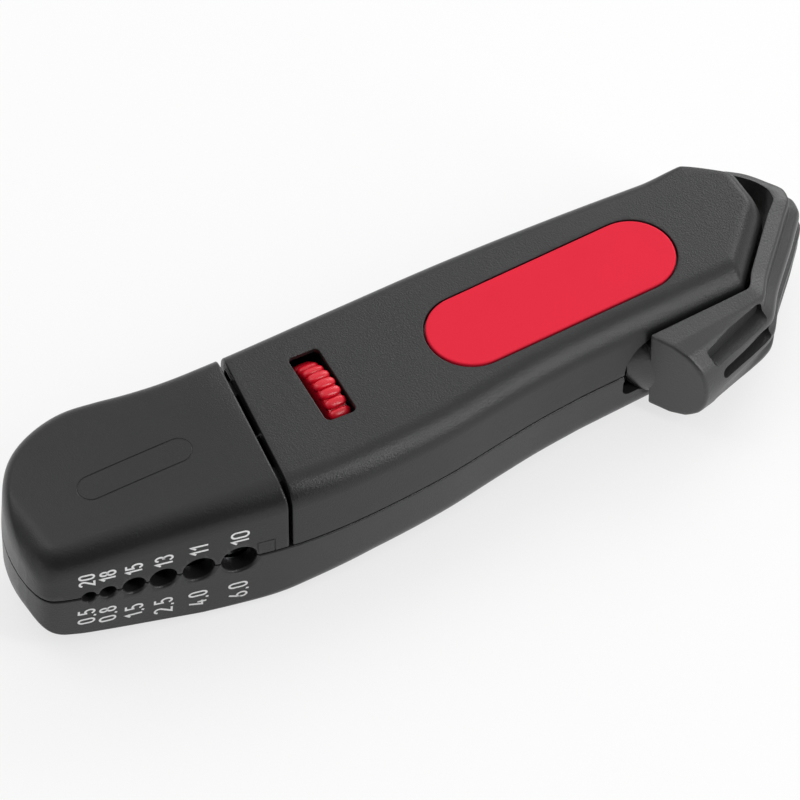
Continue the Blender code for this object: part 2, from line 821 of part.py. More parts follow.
recess_outline = [(x + RECESS_RADIUS, z) for x, z in recess_outline]
upright_y = Matrix.Rotation(-math.pi / 2, 4, "X")
foot_recess = cutter(
    "foot_recess_cutter",
    prism([(x, -z) for x, z in recess_outline], NEAR_WALL_REAR - WALL, NEAR_WALL_REAR + RECESS_DEPTH),
    upright_y,
)
screw_holes = [screw_hole(f"screw_hole_cutter_{i + 1}", x, y) for i, (x, y) in enumerate(SCREWS)]


def shell_pockets(side):
    word = "upper" if side > 0 else "lower"
    return [
        cavity(f"{word}_wheel_pocket", wheel_low, wheel_high, side),
        cavity(f"{word}_spring_pocket", RIB_B_END, RIB_C[0], side, roof=ROOF),
        cavity(f"{word}_foot_pocket", RIB_C[1], TAIL_BLOCK_X, side, roof=ROOF),
    ]


def make_lower_shell():
    item = place("lower_shell", half_body(NOSE_X, TAIL_X, -1), "charcoal_plastic", "housing")
    cut(item, cavity("lower_jaw_pocket", JAW_POCKET_START, POCKET_HINGE_END, -1, bar_then_wall))
    cut(item, *shell_pockets(-1))
    for index, (low, high) in enumerate(((POCKET_HINGE_END, wheel_low), (wheel_high, RIB_B_END))):
        join(item, spindle_saddle(f"spindle_saddle_{index + 1}", low, high))
    for index, (x, y) in enumerate(SCREWS[:2]):
        join(item, screw_boss(f"lower_boss_{index + 1}", x, y, -1))
    slot = cutter("lower_blade_slot", strip_blade_box(-1, TOUCH_GAP), hole_frame(0.0))
    cut(item, *hole_tools, slot, spindle_bore, sleeve_channel, bush_bore, rod_bush_bore)
    cut(item, foot_channel, foot_recess, *screw_holes)
    return item


def make_upper_shell():
    front = JAW_GAP_X - SHELL_OVERLAP
    item = place("upper_shell", half_body(front, TAIL_X, 1), "charcoal_plastic", "housing")
    cut(item, cavity("upper_hinge_pocket", front - WALL, POCKET_HINGE_END, 1))
    cut(item, *shell_pockets(1))
    for index, (x, y) in enumerate(SCREWS[:2]):
        join(item, screw_boss(f"upper_boss_{index + 1}", x, y, 1))
    cut(item, cutter("jaw_gap_front", gap_block(1), LID_FRAME))
    slots = (
        rib_slot("rib_slot_1", POCKET_HINGE_END - WALL, wheel_low + WALL / 2, THREAD_RADIUS),
        rib_slot("rib_slot_2", wheel_high - WALL / 2, RIB_B_END + WALL, THREAD_RADIUS),
        rib_slot("rib_slot_3", RIB_C[0] - WALL, RIB_C[1] + WALL, SPINDLE_RADIUS),
    )
    cut(item, *slots, spindle_bore, sleeve_channel, bush_bore, rod_bush_bore)
    cut(item, foot_channel, foot_recess, *screw_holes)
    opening = rounded_outline(WHEEL_SLOT_WIDTH, WHEEL_SLOT_LENGTH, WHEEL_SLOT_CORNER, 3)
    at_wheel = Matrix.Translation((*WHEEL_SLOT_CENTRE, 0.0))
    turned_slot = at_wheel @ Matrix.Rotation(-WHEEL_SLOT_TURN, 4, "Z")
    top = flat_height(WHEEL_SLOT_CENTRE[0])
    cut(item, cutter("wheel_slot_cutter", prism(opening, top - 2 * WALL, top + WALL), turned_slot))
    seat = prism(stadium(INLAY_STRAIGHT, INLAY_RADIUS + TOUCH_GAP), -INLAY_RECESS, WALL)
    cut(item, cutter("inlay_recess_cutter", seat, INLAY_FRAME))
    pin_length = lid_pin_half_length() + TOUCH_GAP
    hole = rod(-pin_length, pin_length, PIN_RADIUS + TOUCH_GAP, 16)
    cut(item, cutter("lid_pin_hole_cutter", hole, LID_FRAME @ ACROSS))
    return item


def lid_pin_half_length():
    """From the middle of the pin to its end, seated in the side walls."""
    x = PIN_CENTRE[0]
    inner_width = far_wall(x) - near_wall(x) - 2 * WALL
    return inner_width / 2 / math.cos(JAW_GAP_TURN) + PIN_SEAT_DEPTH


def lid_arms():
    """Two hinge arms from the jaw's roof back to eyes around the pin."""
    roof = PIN_BELOW_TOP - WALL / 2
    step_x = -GAP_DISTANCE - JAW_GAP / 2 - WALL
    profile = [
        (step_x - ARM_REACH, -ARM_DEPTH, roof),
        (step_x - TOUCH_GAP, -ARM_DEPTH, roof),
        (step_x, -ARM_DEPTH, EYE_RADIUS),
    ]
    for step in range(ARM_EYE_STEPS):
        angle = math.pi / 2 * step / ARM_EYE_STEPS
        half = EYE_RADIUS * math.cos(angle)
        profile.append((EYE_RADIUS * math.sin(angle), -half, half))
    mesh = bmesh.new()
    for middle in (-ARM_SPACING / 2, ARM_SPACING / 2):
        near = middle - ARM_THICKNESS / 2
        far = middle + ARM_THICKNESS / 2
        rings = []
        for x, low, high in profile:
            corners = ((near, low), (far, low), (far, high), (near, high))
            rings.append([Vector((x, y, z)) for y, z in corners])
        add_mesh(mesh, new_mesh_from_rings(rings))
    return cutter("lid_arms", mesh, LID_FRAME)


def make_lid():
    rear = JAW_GAP_X + LID_OVERLAP
    item = place("stripping_lid", half_body(NOSE_X, rear, 1), "charcoal_plastic", "lid", IDENTITY)
    cut(item, cavity("lid_jaw_pocket", JAW_POCKET_START, rear + WALL, 1, bar_then_wall))
    cut(item, cutter("jaw_gap_rear", gap_block(-1), LID_FRAME))
    join(item, lid_arms())
    slot = cutter("upper_blade_slot", strip_blade_box(1, TOUCH_GAP), hole_frame(0.0))
    eye = rod(-ARM_SPACING, ARM_SPACING, PIN_RADIUS + TOUCH_GAP, 16)
    cut(item, *hole_tools, slot, cutter("lid_eye_cutter", eye, LID_FRAME @ ACROSS))
    return item


def make_lid_pin():
    half = lid_pin_half_length()
    item = place("lid_pin", rod(-half, half, PIN_RADIUS, 16), "steel", "lid", LID_FRAME @ ACROSS)
    make_round(item)
    return item


def make_lid_spring():
    """Torsion spring on the pin, with one leg on the jaw and one on the shell."""
    radius = PIN_RADIUS + TOUCH_GAP + LID_SPRING_WIRE * 1.3
    steps = 10
    turn_length = LID_SPRING_TURNS * LID_SPRING_PITCH
    points = []
    leg_z = PIN_BELOW_TOP - WALL - TOUCH_GAP - LID_SPRING_WIRE
    points.append(Vector((-LID_SPRING_FRONT_LEG, -turn_length / 2, leg_z)))
    for step in range(LID_SPRING_TURNS * steps + 1):
        angle = math.pi / 2 + 2 * math.pi * step / steps
        y = -turn_length / 2 + LID_SPRING_PITCH * step / steps
        points.append(Vector((radius * math.cos(angle), y, radius * math.sin(angle))))
    points.append(Vector((LID_SPRING_REAR_LEG, turn_length / 2, leg_z - LID_SPRING_WIRE)))
    return place("lid_spring", wire(points, LID_SPRING_WIRE, 6), "steel", "lid")


def make_inlay():
    outline = stadium(INLAY_STRAIGHT, INLAY_RADIUS)
    inner = stadium(INLAY_STRAIGHT, INLAY_RADIUS - INLAY_EDGE)
    levels = (
        (outline, -INLAY_RECESS + TOUCH_GAP),
        (outline, INLAY_PROUD - INLAY_EDGE),
        (inner, INLAY_PROUD),
    )
    rings = [[Vector((x, y, z)) for x, y in shape] for shape, z in levels]
    return place("grip_inlay", new_mesh_from_rings(rings), "red_plastic", "inlay")


def make_wheel():
    """Thumb wheel with axial ribs and rounded shoulders, bored for the spindle."""
    half = WHEEL_WIDTH / 2
    across = (
        (-half, WHEEL_RADIUS - WHEEL_SHOULDER),
        (-half + WHEEL_SHOULDER * 0.35, WHEEL_RADIUS - WHEEL_SHOULDER * 0.3),
        (-half + WHEEL_SHOULDER, WHEEL_RADIUS),
        (half - WHEEL_SHOULDER, WHEEL_RADIUS),
        (half - WHEEL_SHOULDER * 0.35, WHEEL_RADIUS - WHEEL_SHOULDER * 0.3),
        (half, WHEEL_RADIUS - WHEEL_SHOULDER),
    )
    shares = ((0.00, 0.0), (0.55, 0.0), (0.70, 1.0), (0.85, 1.0))
    rings = []
    for x, radius in across:
        ring = []
        for rib in range(WHEEL_RIBS):
            for share, depth in shares:
                angle = 2 * math.pi * (rib + share) / WHEEL_RIBS
                at = radius - depth * WHEEL_RIB_DEPTH
                ring.append(Vector((x, at * math.sin(angle), at * math.cos(angle))))
        rings.append(ring)
    item = place("depth_wheel", new_mesh_from_rings(rings), "wheel_red", "spindle")
    bore = rod(-WHEEL_WIDTH, WHEEL_WIDTH, THREAD_RADIUS + SLIDE_GAP, 16)
    cut(item, cutter("wheel_bore_cutter", bore, SPINDLE_FRAME))
    return item


def make_spindle():
    profile = (
        (THREAD_START, THREAD_RADIUS - THREAD_CHAMFER),
        (THREAD_START + THREAD_CHAMFER, THREAD_RADIUS),
        (THREAD_END, THREAD_RADIUS),
        (THREAD_END, SPINDLE_RADIUS),
        (SPINDLE_END - TOUCH_GAP, SPINDLE_RADIUS),
    )
    item = place("depth_spindle", turned(profile, 16), "steel", "spindle")
    cut(item, sleeve_pin_cutter)
    make_round(item)
    return item


sleeve_pin_u = SLEEVE_START + SPINDLE_SEAT / 2
down_line = downward(SPINDLE_FRAME, sleeve_pin_u)
sleeve_pin_cutter = cutter(
    "sleeve_pin_cutter",
    rod(-SLEEVE_SIDE, SLEEVE_SIDE, SLEEVE_PIN_RADIUS + TOUCH_GAP, 12),
    down_line,
)
POST_START = SLEEVE_END - POST_SEAT
CLIP_U = SLEEVE_END - POST_SEAT / 2


def make_sleeve():
    """Square guide block that joins the spindle to the turning blade post."""
    half = SLEEVE_SIDE / 2
    mesh = box((SLEEVE_START, -half, -half), (SLEEVE_END, half, half))
    item = place("blade_sleeve", mesh, "brass", "spindle")
    front = rod(SLEEVE_START - WALL, SPINDLE_END, SPINDLE_RADIUS + TOUCH_GAP, 16)
    back = rod(POST_START - TOUCH_GAP, SLEEVE_END + WALL, POST_RADIUS + SLIDE_GAP, 16)
    clip = CLIP_THICKNESS / 2 + TOUCH_GAP
    groove_top = POST_RADIUS + CLIP_RIM + TOUCH_GAP
    groove = box((CLIP_U - clip, -groove_top, -groove_top), (CLIP_U + clip, groove_top, SLEEVE_SIDE))
    cut(item, cutter("sleeve_front_bore", front, SPINDLE_FRAME))
    cut(item, cutter("sleeve_back_bore", back, SPINDLE_FRAME))
    cut(item, cutter("sleeve_clip_slot", groove, SPINDLE_FRAME), sleeve_pin_cutter)
    return item


def make_sleeve_pin():
    half = SLEEVE_SIDE / 2
    item = place("sleeve_pin", rod(-half, half, SLEEVE_PIN_RADIUS, 10), "steel", "spindle", down_line)
    make_round(item)
    return item


HEAD_END = EXIT_U - HEAD_INSET
HEAD_START = SLEEVE_END + SLIDE_GAP
BLADE_TIP = HEAD_END + SHEATH_BLADE_PROUD
BLADE_BACK = BLADE_TIP - SHEATH_BLADE_LENGTH
blade_pin_u = (BLADE_BACK + HEAD_END) / 2
blade_pin_line = downward(SPINDLE_FRAME, blade_pin_u)
blade_pin_cutter = cutter(
    "blade_pin_cutter",
    rod(-SLEEVE_SIDE, SLEEVE_SIDE, BLADE_PIN_RADIUS + TOUCH_GAP, 12),
    blade_pin_line,
)


def make_post():
    """Turning post: a stem in the sleeve, a clip groove and a slotted head."""
    stem = POST_RADIUS - TOUCH_GAP
    clip = CLIP_THICKNESS / 2 + TOUCH_GAP
    profile = (
        (POST_START, POST_RADIUS),
        (CLIP_U - clip, POST_RADIUS),
        (CLIP_U - clip, stem),
        (CLIP_U + clip, stem),
        (CLIP_U + clip, POST_RADIUS),
        (HEAD_START, POST_RADIUS),
        (HEAD_START, HEAD_RADIUS),
        (HEAD_END - TOUCH_GAP, HEAD_RADIUS),
        (HEAD_END, HEAD_RADIUS - TOUCH_GAP),
    )
    item = place("blade_post", turned(profile, 20), "steel", "spindle")
    half = SHEATH_BLADE_THICKNESS / 2 + TOUCH_GAP
    slot = box((BLADE_BACK - TOUCH_GAP, -SLEEVE_SIDE, -half), (EXIT_U, SLEEVE_SIDE, half))
    cut(item, cutter("blade_slot_cutter", slot, SPINDLE_FRAME), blade_pin_cutter)
    make_round(item)
    return item


def make_sheath_blade():
    """Pointed blade, flat in the post's slot and ground to a curved edge."""
    wide = SHEATH_BLADE_HALF_WIDTH
    outline = [(BLADE_BACK, -wide), (HEAD_END, -wide)]
    for step in range(1, 6):
        share = step / 6
        x = HEAD_END + SHEATH_BLADE_PROUD * share
        outline.append((x, -wide * math.sqrt(1 - share ** 2)))
    outline.append((BLADE_TIP, 0.0))
    outline += [(HEAD_END, wide * 0.7), (BLADE_BACK, wide * 0.7)]
    half = SHEATH_BLADE_THICKNESS / 2
    item = place("sheath_blade", prism(outline, -half, half), "blade_steel", "spindle")
    cut(item, blade_pin_cutter)
    return item


def make_blade_pin():
    reach = math.sqrt(HEAD_RADIUS ** 2 - BLADE_PIN_RADIUS ** 2) - TOUCH_GAP / 2
    mesh = rod(-reach, reach, BLADE_PIN_RADIUS, 10)
    item = place("blade_pin", mesh, "steel", "spindle", blade_pin_line)
    make_round(item)
    return item


def make_post_clip():
    half = CLIP_THICKNESS / 2
    inner = POST_RADIUS
    ring = tube(CLIP_U - half, CLIP_U + half, inner, inner + CLIP_RIM, 20)
    item = place("post_clip", ring, "steel", "spindle")
    make_round(item)
    return item


def make_guide_bush():
    inner = HEAD_RADIUS + SLIDE_GAP
    ring = tube(bush_start, EXIT_U - TOUCH_GAP, inner, bush_outer, 20)
    item = place("guide_bush", ring, "brass", "spindle")
    make_round(item)
    return item


def blend_profile(share, reach):
    """Half of the bail's outer profile: (offset, z) from its top edge down."""
    top = reach * BAIL_TOP_SHARE
    rib = top + (reach - top) * 0.6
    band = (
        (0.0, 1.0),
        (top - BAIL_TOP_EDGE, 1.0),
        (top, 0.95),
        (rib, 0.52),
        (rib - BAIL_GROOVE, 0.46),
        (rib - BAIL_GROOVE, 0.36),
        (reach, 0.30),
        (reach, 0.0),
    )
    thumb = (
        (0.0, 1.0),
        (reach * 0.38, 0.98),
        (reach * 0.64, 0.87),
        (reach * 0.85, 0.64),
        (reach * 0.91, 0.52),
        (reach * 0.955, 0.38),
        (reach * 0.985, 0.22),
        (reach, 0.0),
    )
    points = []
    for (band_x, band_z), (thumb_x, thumb_z) in zip(band, thumb):
        x = band_x * (1 - share) + thumb_x * share
        z = (band_z * (1 - share) + thumb_z * share) * BAIL_HALF_HEIGHT
        points.append((x, z))
    return points


def bail_ring(section):
    inner = Vector((section[0], section[1], 0.0))
    outer = Vector((section[2], section[3], 0.0))
    outward = (outer - inner).normalized()
    half = blend_profile(section[4], (outer - inner).length)
    whole = half + [(x, -z) for x, z in reversed(half[:-1])]
    return [inner + outward * x + Vector((0, 0, z)) for x, z in whole]


def thumb_slot(name, z, low, high):
    """Tapered slot in the flare of the thumb rest."""
    first, last = THUMB_SLOT_HEIGHTS
    outline = []
    for step in range(7):
        angle = math.radians(90 + 30 * step)
        x = low + first / 2 + first / 2 * math.cos(angle)
        outline.append((x, z + first / 2 * math.sin(angle)))
    for step in range(5):
        angle = math.radians(-90 + 45 * step)
        x = high - last / 2 + last / 2 * math.cos(angle)
        outline.append((x, z + last / 2 * math.sin(angle)))
    start = BAIL_SECTIONS[2]
    end = BAIL_SECTIONS[4]
    turn = math.atan2(end[3] - start[3], end[2] - start[2])
    pivot = Vector((start[2], start[3], 0.0))
    along_flare = Matrix.Translation(pivot) @ Matrix.Rotation(turn, 4, "Z")
    frame = along_flare @ Matrix.Translation((-start[2], 0.0, 0.0))
    mesh = prism([(x, -height) for x, height in outline], -REACH, THUMB_SLOT_DEPTH)
    return cutter(name, mesh, frame @ upright_y)


def make_bail():
    """V-shaped bail: thumb rest, near arm, apex and the tip past the far corner."""
    rings = [bail_ring(section) for section in BAIL_SECTIONS]
    item = place("bail", new_mesh_from_rings(rings), "bail_plastic", "bail", IDENTITY)
    inner_y = BAIL_SECTIONS[0][1]
    foot = box(
        (FOOT_START, inner_y - FOOT_ROOT, -FOOT_HALF_HEIGHT),
        (FOOT_START + FOOT_LENGTH, FOOT_INNER_Y, FOOT_HALF_HEIGHT),
    )
    join(item, cutter("bail_foot", foot))
    bore = rod(FOOT_START - WALL, FOOT_START + ROD_SEAT + TOUCH_GAP, ROD_RADIUS + TOUCH_GAP, 16)
    cut(item, cutter("bail_rod_bore", bore, rod_line), rod_pin_cutter)
    for index, (z, low, high) in enumerate(THUMB_SLOTS):
        cut(item, thumb_slot(f"thumb_slot_{index + 1}", z, low, high))
    return item


rod_pin_line = downward(rod_line, FOOT_START + ROD_SEAT / 2)
rod_pin_cutter = cutter(
    "rod_pin_cutter",
    rod(-FOOT_HALF_HEIGHT - WALL, FOOT_HALF_HEIGHT + WALL, ROD_PIN_RADIUS + TOUCH_GAP, 12),
    rod_pin_line,
)


def make_bail_rod():
    head_end = ROD_FRONT_X + ROD_HEAD_LENGTH
    profile = (
        (ROD_FRONT_X, ROD_HEAD_RADIUS),
        (head_end, ROD_HEAD_RADIUS),
        (head_end, ROD_RADIUS),
        (FOOT_START + ROD_SEAT, ROD_RADIUS),
    )
    item = place("bail_rod", turned(profile, 16), "steel", "bail", rod_line)
    cut(item, rod_pin_cutter)
    make_round(item)
    return item


def make_rod_pin():
    half = FOOT_HALF_HEIGHT - TOUCH_GAP
    item = place("rod_pin", rod(-half, half, ROD_PIN_RADIUS, 10), "steel", "bail", rod_pin_line)
    make_round(item)
    return item


washer_start = ROD_FRONT_X + ROD_HEAD_LENGTH + TOUCH_GAP
spring_start = washer_start + WASHER_THICKNESS + TOUCH_GAP
spring_end = RIB_C[0] - ROD_BUSH_FLANGE - 2 * TOUCH_GAP


def make_spring_washer():
    ring = tube(washer_start, washer_start + WASHER_THICKNESS, ROD_RADIUS + TOUCH_GAP, WASHER_RADIUS)
    item = place("spring_washer", ring, "steel", "bail", rod_line)
    make_round(item)
    return item


def make_rod_bush():
    """Flanged bush in the cross rib: the rod's guide and the spring's far seat."""
    inner = ROD_RADIUS + SLIDE_GAP
    flange_end = RIB_C[0] - TOUCH_GAP
    profile = (
        (flange_end - ROD_BUSH_FLANGE, inner),
        (flange_end - ROD_BUSH_FLANGE, WASHER_RADIUS),
        (flange_end, WASHER_RADIUS),
        (flange_end, rod_bush_outer),
        (RIB_C[1], rod_bush_outer),
        (RIB_C[1], inner),
    )
    item = place("rod_bush", turned_ring(profile, 16), "brass", "housing", rod_line)
    make_round(item)
    return item


def make_bail_spring():
    radius = ROD_RADIUS + TOUCH_GAP + SPRING_WIRE
    first = spring_start + SPRING_WIRE
    last = spring_end - SPRING_WIRE
    steps = 10
    points = []
    for step in range(SPRING_TURNS * steps + 1):
        angle = 2 * math.pi * step / steps
        share = step / (SPRING_TURNS * steps)
        points.append(
            Vector((first + (last - first) * share, radius * math.cos(angle), radius * math.sin(angle)))
        )
    return place("bail_spring", wire(points, SPRING_WIRE), "steel", "bail", rod_line)


make_lower_shell()
make_upper_shell()
make_inlay()
make_lid()
make_lid_pin()
make_lid_spring()
strip_blade("lower_strip_blade", -1, "housing")
strip_blade("upper_strip_blade", 1, "lid")
make_wheel()
make_spindle()
make_sleeve()
make_sleeve_pin()
make_post()
make_sheath_blade()
make_blade_pin()
make_post_clip()
make_guide_bush()
make_bail()
make_bail_rod()
make_rod_pin()
make_spring_washer()
make_rod_bush()
make_bail_spring()
for number, (screw_x, screw_y) in enumerate(SCREWS):
    housing_screw(f"housing_screw_{number + 1}", screw_x, screw_y)
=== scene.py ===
import bmesh
import bpy
from math import atan2, cos, pi, radians, sin, sqrt, tan
from mathutils import Matrix, Vector


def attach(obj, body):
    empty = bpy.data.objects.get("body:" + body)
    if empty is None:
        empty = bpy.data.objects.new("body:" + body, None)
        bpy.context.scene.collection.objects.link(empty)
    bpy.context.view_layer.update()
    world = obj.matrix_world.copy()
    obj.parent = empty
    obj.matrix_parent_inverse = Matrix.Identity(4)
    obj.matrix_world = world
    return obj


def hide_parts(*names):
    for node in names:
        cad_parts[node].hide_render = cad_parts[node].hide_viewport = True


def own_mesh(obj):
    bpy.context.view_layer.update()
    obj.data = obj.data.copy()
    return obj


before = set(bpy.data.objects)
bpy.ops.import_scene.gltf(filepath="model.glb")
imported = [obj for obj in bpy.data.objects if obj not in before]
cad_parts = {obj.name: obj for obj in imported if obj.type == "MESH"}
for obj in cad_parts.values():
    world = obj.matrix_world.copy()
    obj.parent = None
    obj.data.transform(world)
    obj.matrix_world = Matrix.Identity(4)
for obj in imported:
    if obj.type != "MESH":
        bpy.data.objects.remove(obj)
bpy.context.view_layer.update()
print("cable knife: frame loaded with", len(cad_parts), "nodes")

# the whole tool's outline, in metres: X along the grip, Y across it, Z = 0 where the halves part
grip = {
    "noseX": -0.0629, "tailX": 0.0692, "bailReachX": 0.0774, "lowY": -0.0158, "highY": 0.0271,
    "halfHeight": 0.0122, "taper": radians(1.4),
    "noseDrop": 0.0050, "noseDropPower": 1.3, "noseRound": 0.0040, "tailRound": 0.0016,
    "fillet": 0.0044, "farFillet": 0.0027, "leastFillet": 0.0006,
    "tailFillet": 0.0012,    # the far edge gets crisper towards the tail
    "crispFrom": 0.0140, "crispLength": 0.0080,
    "filletWidthShare": 0.40, "filletHeightShare": 0.80,
    "draft": 0.00035, "draftShare": 0.05, "wall": 0.0020, "roof": 0.0026,
    "nearRear": -0.0061, "nearChamfer": 0.0100,
    "farCornerY": 0.0132, "farCornerLength": 0.0068, "farCornerPower": 1.15,
    "gapX": -0.0229, "gapTurn": radians(9.3), "gapWidth": 0.0006,
    "gapBevel": 0.19,        # lean of the jaw's rear edge above the hinge, so that it clears
    "parting": 0.0003, "clearance": 0.0003,
    "overrun": 0.002,        # how far a cutting tool reaches past what it opens
}
noseX, tailX, nearRear, wall, gap, overrun = (
    grip[key] for key in ("noseX", "tailX", "nearRear", "wall", "clearance", "overrun"))
nearKnots = [
    (0.0, 0.0066), (0.0004, 0.0042), (0.0013, 0.0025), (0.0026, 0.0016), (0.0046, 0.0008),
    (0.0071, 0.0), (0.0189, -0.0029), (0.0305, -0.0058), (0.0389, -0.0077), (0.0469, -0.0086),
    (0.0559, -0.0088), (0.0669, -0.0084), (0.0769, -0.0073), (0.0849, -0.0065), (0.0929, -0.0061)]
farKnots = [
    (0.0, 0.0095), (0.0004, 0.0125), (0.0011, 0.0152), (0.0022, 0.0180), (0.0043, 0.0215),
    (0.0068, 0.0242), (0.0102, 0.0261), (0.0144, 0.0271), (0.0184, 0.0271), (0.0229, 0.0260),
    (0.0279, 0.0245), (0.0339, 0.0232), (0.0409, 0.0225), (0.0629, 0.0221), (0.0829, 0.0217),
    (0.1029, 0.0206), (0.1249, 0.0188)]
nearKnots, farKnots = ([(noseX + along, y) for along, y in knots]
                       for knots in (nearKnots, farKnots))
footKnots = [(-0.0380, 0.0006), (-0.0280, 0.0018), (-0.0200, 0.0034), (-0.0095, 0.0044)]

toGround = Matrix.Translation((
    -(noseX + grip["bailReachX"]) / 2 * cos(grip["taper"]),
    -(grip["lowY"] + grip["highY"]) / 2,
    grip["halfHeight"] * cos(grip["taper"]),
)) @ Matrix.Rotation(grip["taper"], 4, "Y")


# sines and cosines over a quarter turn
def quarter(steps):
    angles = [pi / 2 * step / steps for step in range(steps + 1)]
    return [(sin(angle), cos(angle)) for angle in angles]


# cosines and sines round a full turn
def circle(count, offset=0.0):
    angles = [2 * pi * (k + offset) / count for k in range(count)]
    return [(cos(angle), sin(angle)) for angle in angles]


def smoothCurve(knots, x):
    if x <= knots[0][0]:
        return knots[0][1]
    if x >= knots[-1][0]:
        return knots[-1][1]
    i = max(k for k in range(len(knots) - 1) if knots[k][0] <= x)

    def slope(k):
        before, after = knots[max(k - 1, 0)], knots[min(k + 1, len(knots) - 1)]
        return (after[1] - before[1]) / (after[0] - before[0])

    span = knots[i + 1][0] - knots[i][0]
    t = (x - knots[i][0]) / span
    first = knots[i][1] * (1 + 2 * t) * (1 - t) ** 2 + slope(i) * span * t * (1 - t) ** 2
    return first + knots[i + 1][1] * t * t * (3 - 2 * t) + slope(i + 1) * span * t * t * (t - 1)


def nearWall(x):
    chamferX = tailX - grip["nearChamfer"]
    return nearRear + x - chamferX if x > chamferX else smoothCurve(nearKnots, x)


def farWall(x):
    cornerX = tailX - grip["farCornerLength"]
    if x <= cornerX:
        return smoothCurve(farKnots, x)
    fall = smoothCurve(farKnots, cornerX) - grip["farCornerY"]
    share = min((x - cornerX) / grip["farCornerLength"], 1.0)
    return grip["farCornerY"] + fall * (1 - share ** grip["farCornerPower"])


def flatTop(x):
    return grip["halfHeight"] - tan(grip["taper"]) * x


def edgeDrop(distance, radius):
    distance = max(distance, 0.0)
    if distance >= radius:
        return 0.0
    return radius - sqrt(radius ** 2 - (radius - distance) ** 2)


def topHeight(x):
    height = flatTop(x)
    if x < grip["gapX"]:
        share = min((grip["gapX"] - x) / (grip["gapX"] - noseX), 1.0)
        height -= grip["noseDrop"] * share ** grip["noseDropPower"]
    height -= edgeDrop(x - noseX, grip["noseRound"])
    return height - edgeDrop(tailX - x, grip["tailRound"])


# the lower half's near edge is almost sharp below the jaw
def nearFillet(x, side):
    return grip["fillet"] if side > 0 else smoothCurve(footKnots, x)


def farFillet(x):
    share = min(max((x - tailX + grip["crispFrom"]) / grip["crispLength"], 0.0), 1.0)
    change = grip["tailFillet"] - grip["farFillet"]
    return grip["farFillet"] + change * share * share * (3 - 2 * share)


gapMiddleY = (nearWall(grip["gapX"]) + farWall(grip["gapX"])) / 2
gapMiddleX = grip["gapX"] + gapMiddleY * tan(grip["gapTurn"])


# a ring of points across the grip, from the near foot over the top to the far foot;
# lean shears it towards the gap's angle
def crossRing(x, side, nearIn=0.0, farIn=0.0, topIn=0.0, foot=None, lip=0.0, lean=0.0,
              shrink=0.0, fine=True):
    wallSteps, bendSteps, topSteps = (4, 8, 12) if fine else (1, 4, 1)
    foot = grip["parting"] / 2 if foot is None else foot
    low, high = nearWall(x), farWall(x)
    for _ in range(4):
        low = nearWall(x + (low - gapMiddleY) * lean)
        high = farWall(x + (high - gapMiddleY) * lean)
    low += nearIn + shrink
    high -= farIn + shrink
    width = high - low

    def topAt(y):
        return topHeight(x + (y - gapMiddleY) * lean) - topIn - shrink

    inset = min(nearIn, farIn)
    largest = min(grip["filletWidthShare"] * width,
                  grip["filletHeightShare"] * topAt((low + high) / 2))
    nearRadius, farRadius = (min(max(full - inset - shrink, grip["leastFillet"]), largest)
                             for full in (nearFillet(x, side), farFillet(x)))
    draft = min(grip["draft"] if inset == 0.0 else 0.0, grip["draftShare"] * width)

    def flank(y, inward, radius):
        ridge = topAt(y + inward * (draft + radius)) - radius
        points = []
        if lip:
            for angle in (pi / 2 * (1 - step / 3) for step in range(3)):
                points.append((y + inward * lip * (1 - cos(angle)),
                               foot + lip * (1 - sin(angle))))
        start = foot + lip
        for share in (step / wallSteps for step in range(wallSteps)):
            points.append((y + inward * draft * share, start + (ridge - start) * share))
        for sine, cosine in quarter(bendSteps):
            across = y + inward * (draft + radius * (1 - cosine))
            points.append((across, topAt(across) - radius * (1 - sine)))
        return points

    near, far = flank(low, 1, nearRadius), flank(high, -1, farRadius)
    first, last = near[-1][0], far[-1][0]
    middle = [first + (last - first) * step / topSteps for step in range(1, topSteps)]
    ring = near + [(y, topAt(y)) for y in middle] + far[::-1]
    return [Vector((x + (y - gapMiddleY) * lean, y, side * z)) for y, z in ring]


def meshFromRings(rings, closed=False):
    mesh = bmesh.new()
    loops = [[mesh.verts.new(point) for point in ring] for ring in rings]
    count = len(rings[0])
    pairs = list(zip(loops, loops[1:])) + ([(loops[-1], loops[0])] if closed else [])
    for first, second in pairs:
        for i in range(count):
            j = (i + 1) % count
            mesh.faces.new((first[i], first[j], second[j], second[i]))
    if not closed:
        mesh.faces.new(loops[0])
        mesh.faces.new(loops[-1])
    bmesh.ops.recalc_face_normals(mesh, faces=mesh.faces)
    return mesh


def newPiece(name, mesh, place=None):
    if place is not None:
        mesh.transform(place)
    bmesh.ops.triangulate(mesh, faces=mesh.faces)
    data = bpy.data.meshes.new(name)
    mesh.to_mesh(data)
    mesh.free()
    piece = bpy.data.objects.new(name, data)
    bpy.context.scene.collection.objects.link(piece)
    return piece


# bakes what the modifiers make into a plain mesh
def bake(piece):
    bpy.context.view_layer.update()
    graph = bpy.context.evaluated_depsgraph_get()
    shown = piece.evaluated_get(graph)
    result = bpy.data.meshes.new_from_object(shown, preserve_all_data_layers=True, depsgraph=graph)
    piece.modifiers.clear()
    piece.data = result


def carve(piece, tools, how="DIFFERENCE"):
    for tool in tools:
        modifier = piece.modifiers.new("carve", "BOOLEAN")
        modifier.operation = how
        modifier.solver = "EXACT"
        modifier.object = tool
    bake(piece)


def clearAway(tools):
    for tool in tools:
        bpy.data.objects.remove(tool)


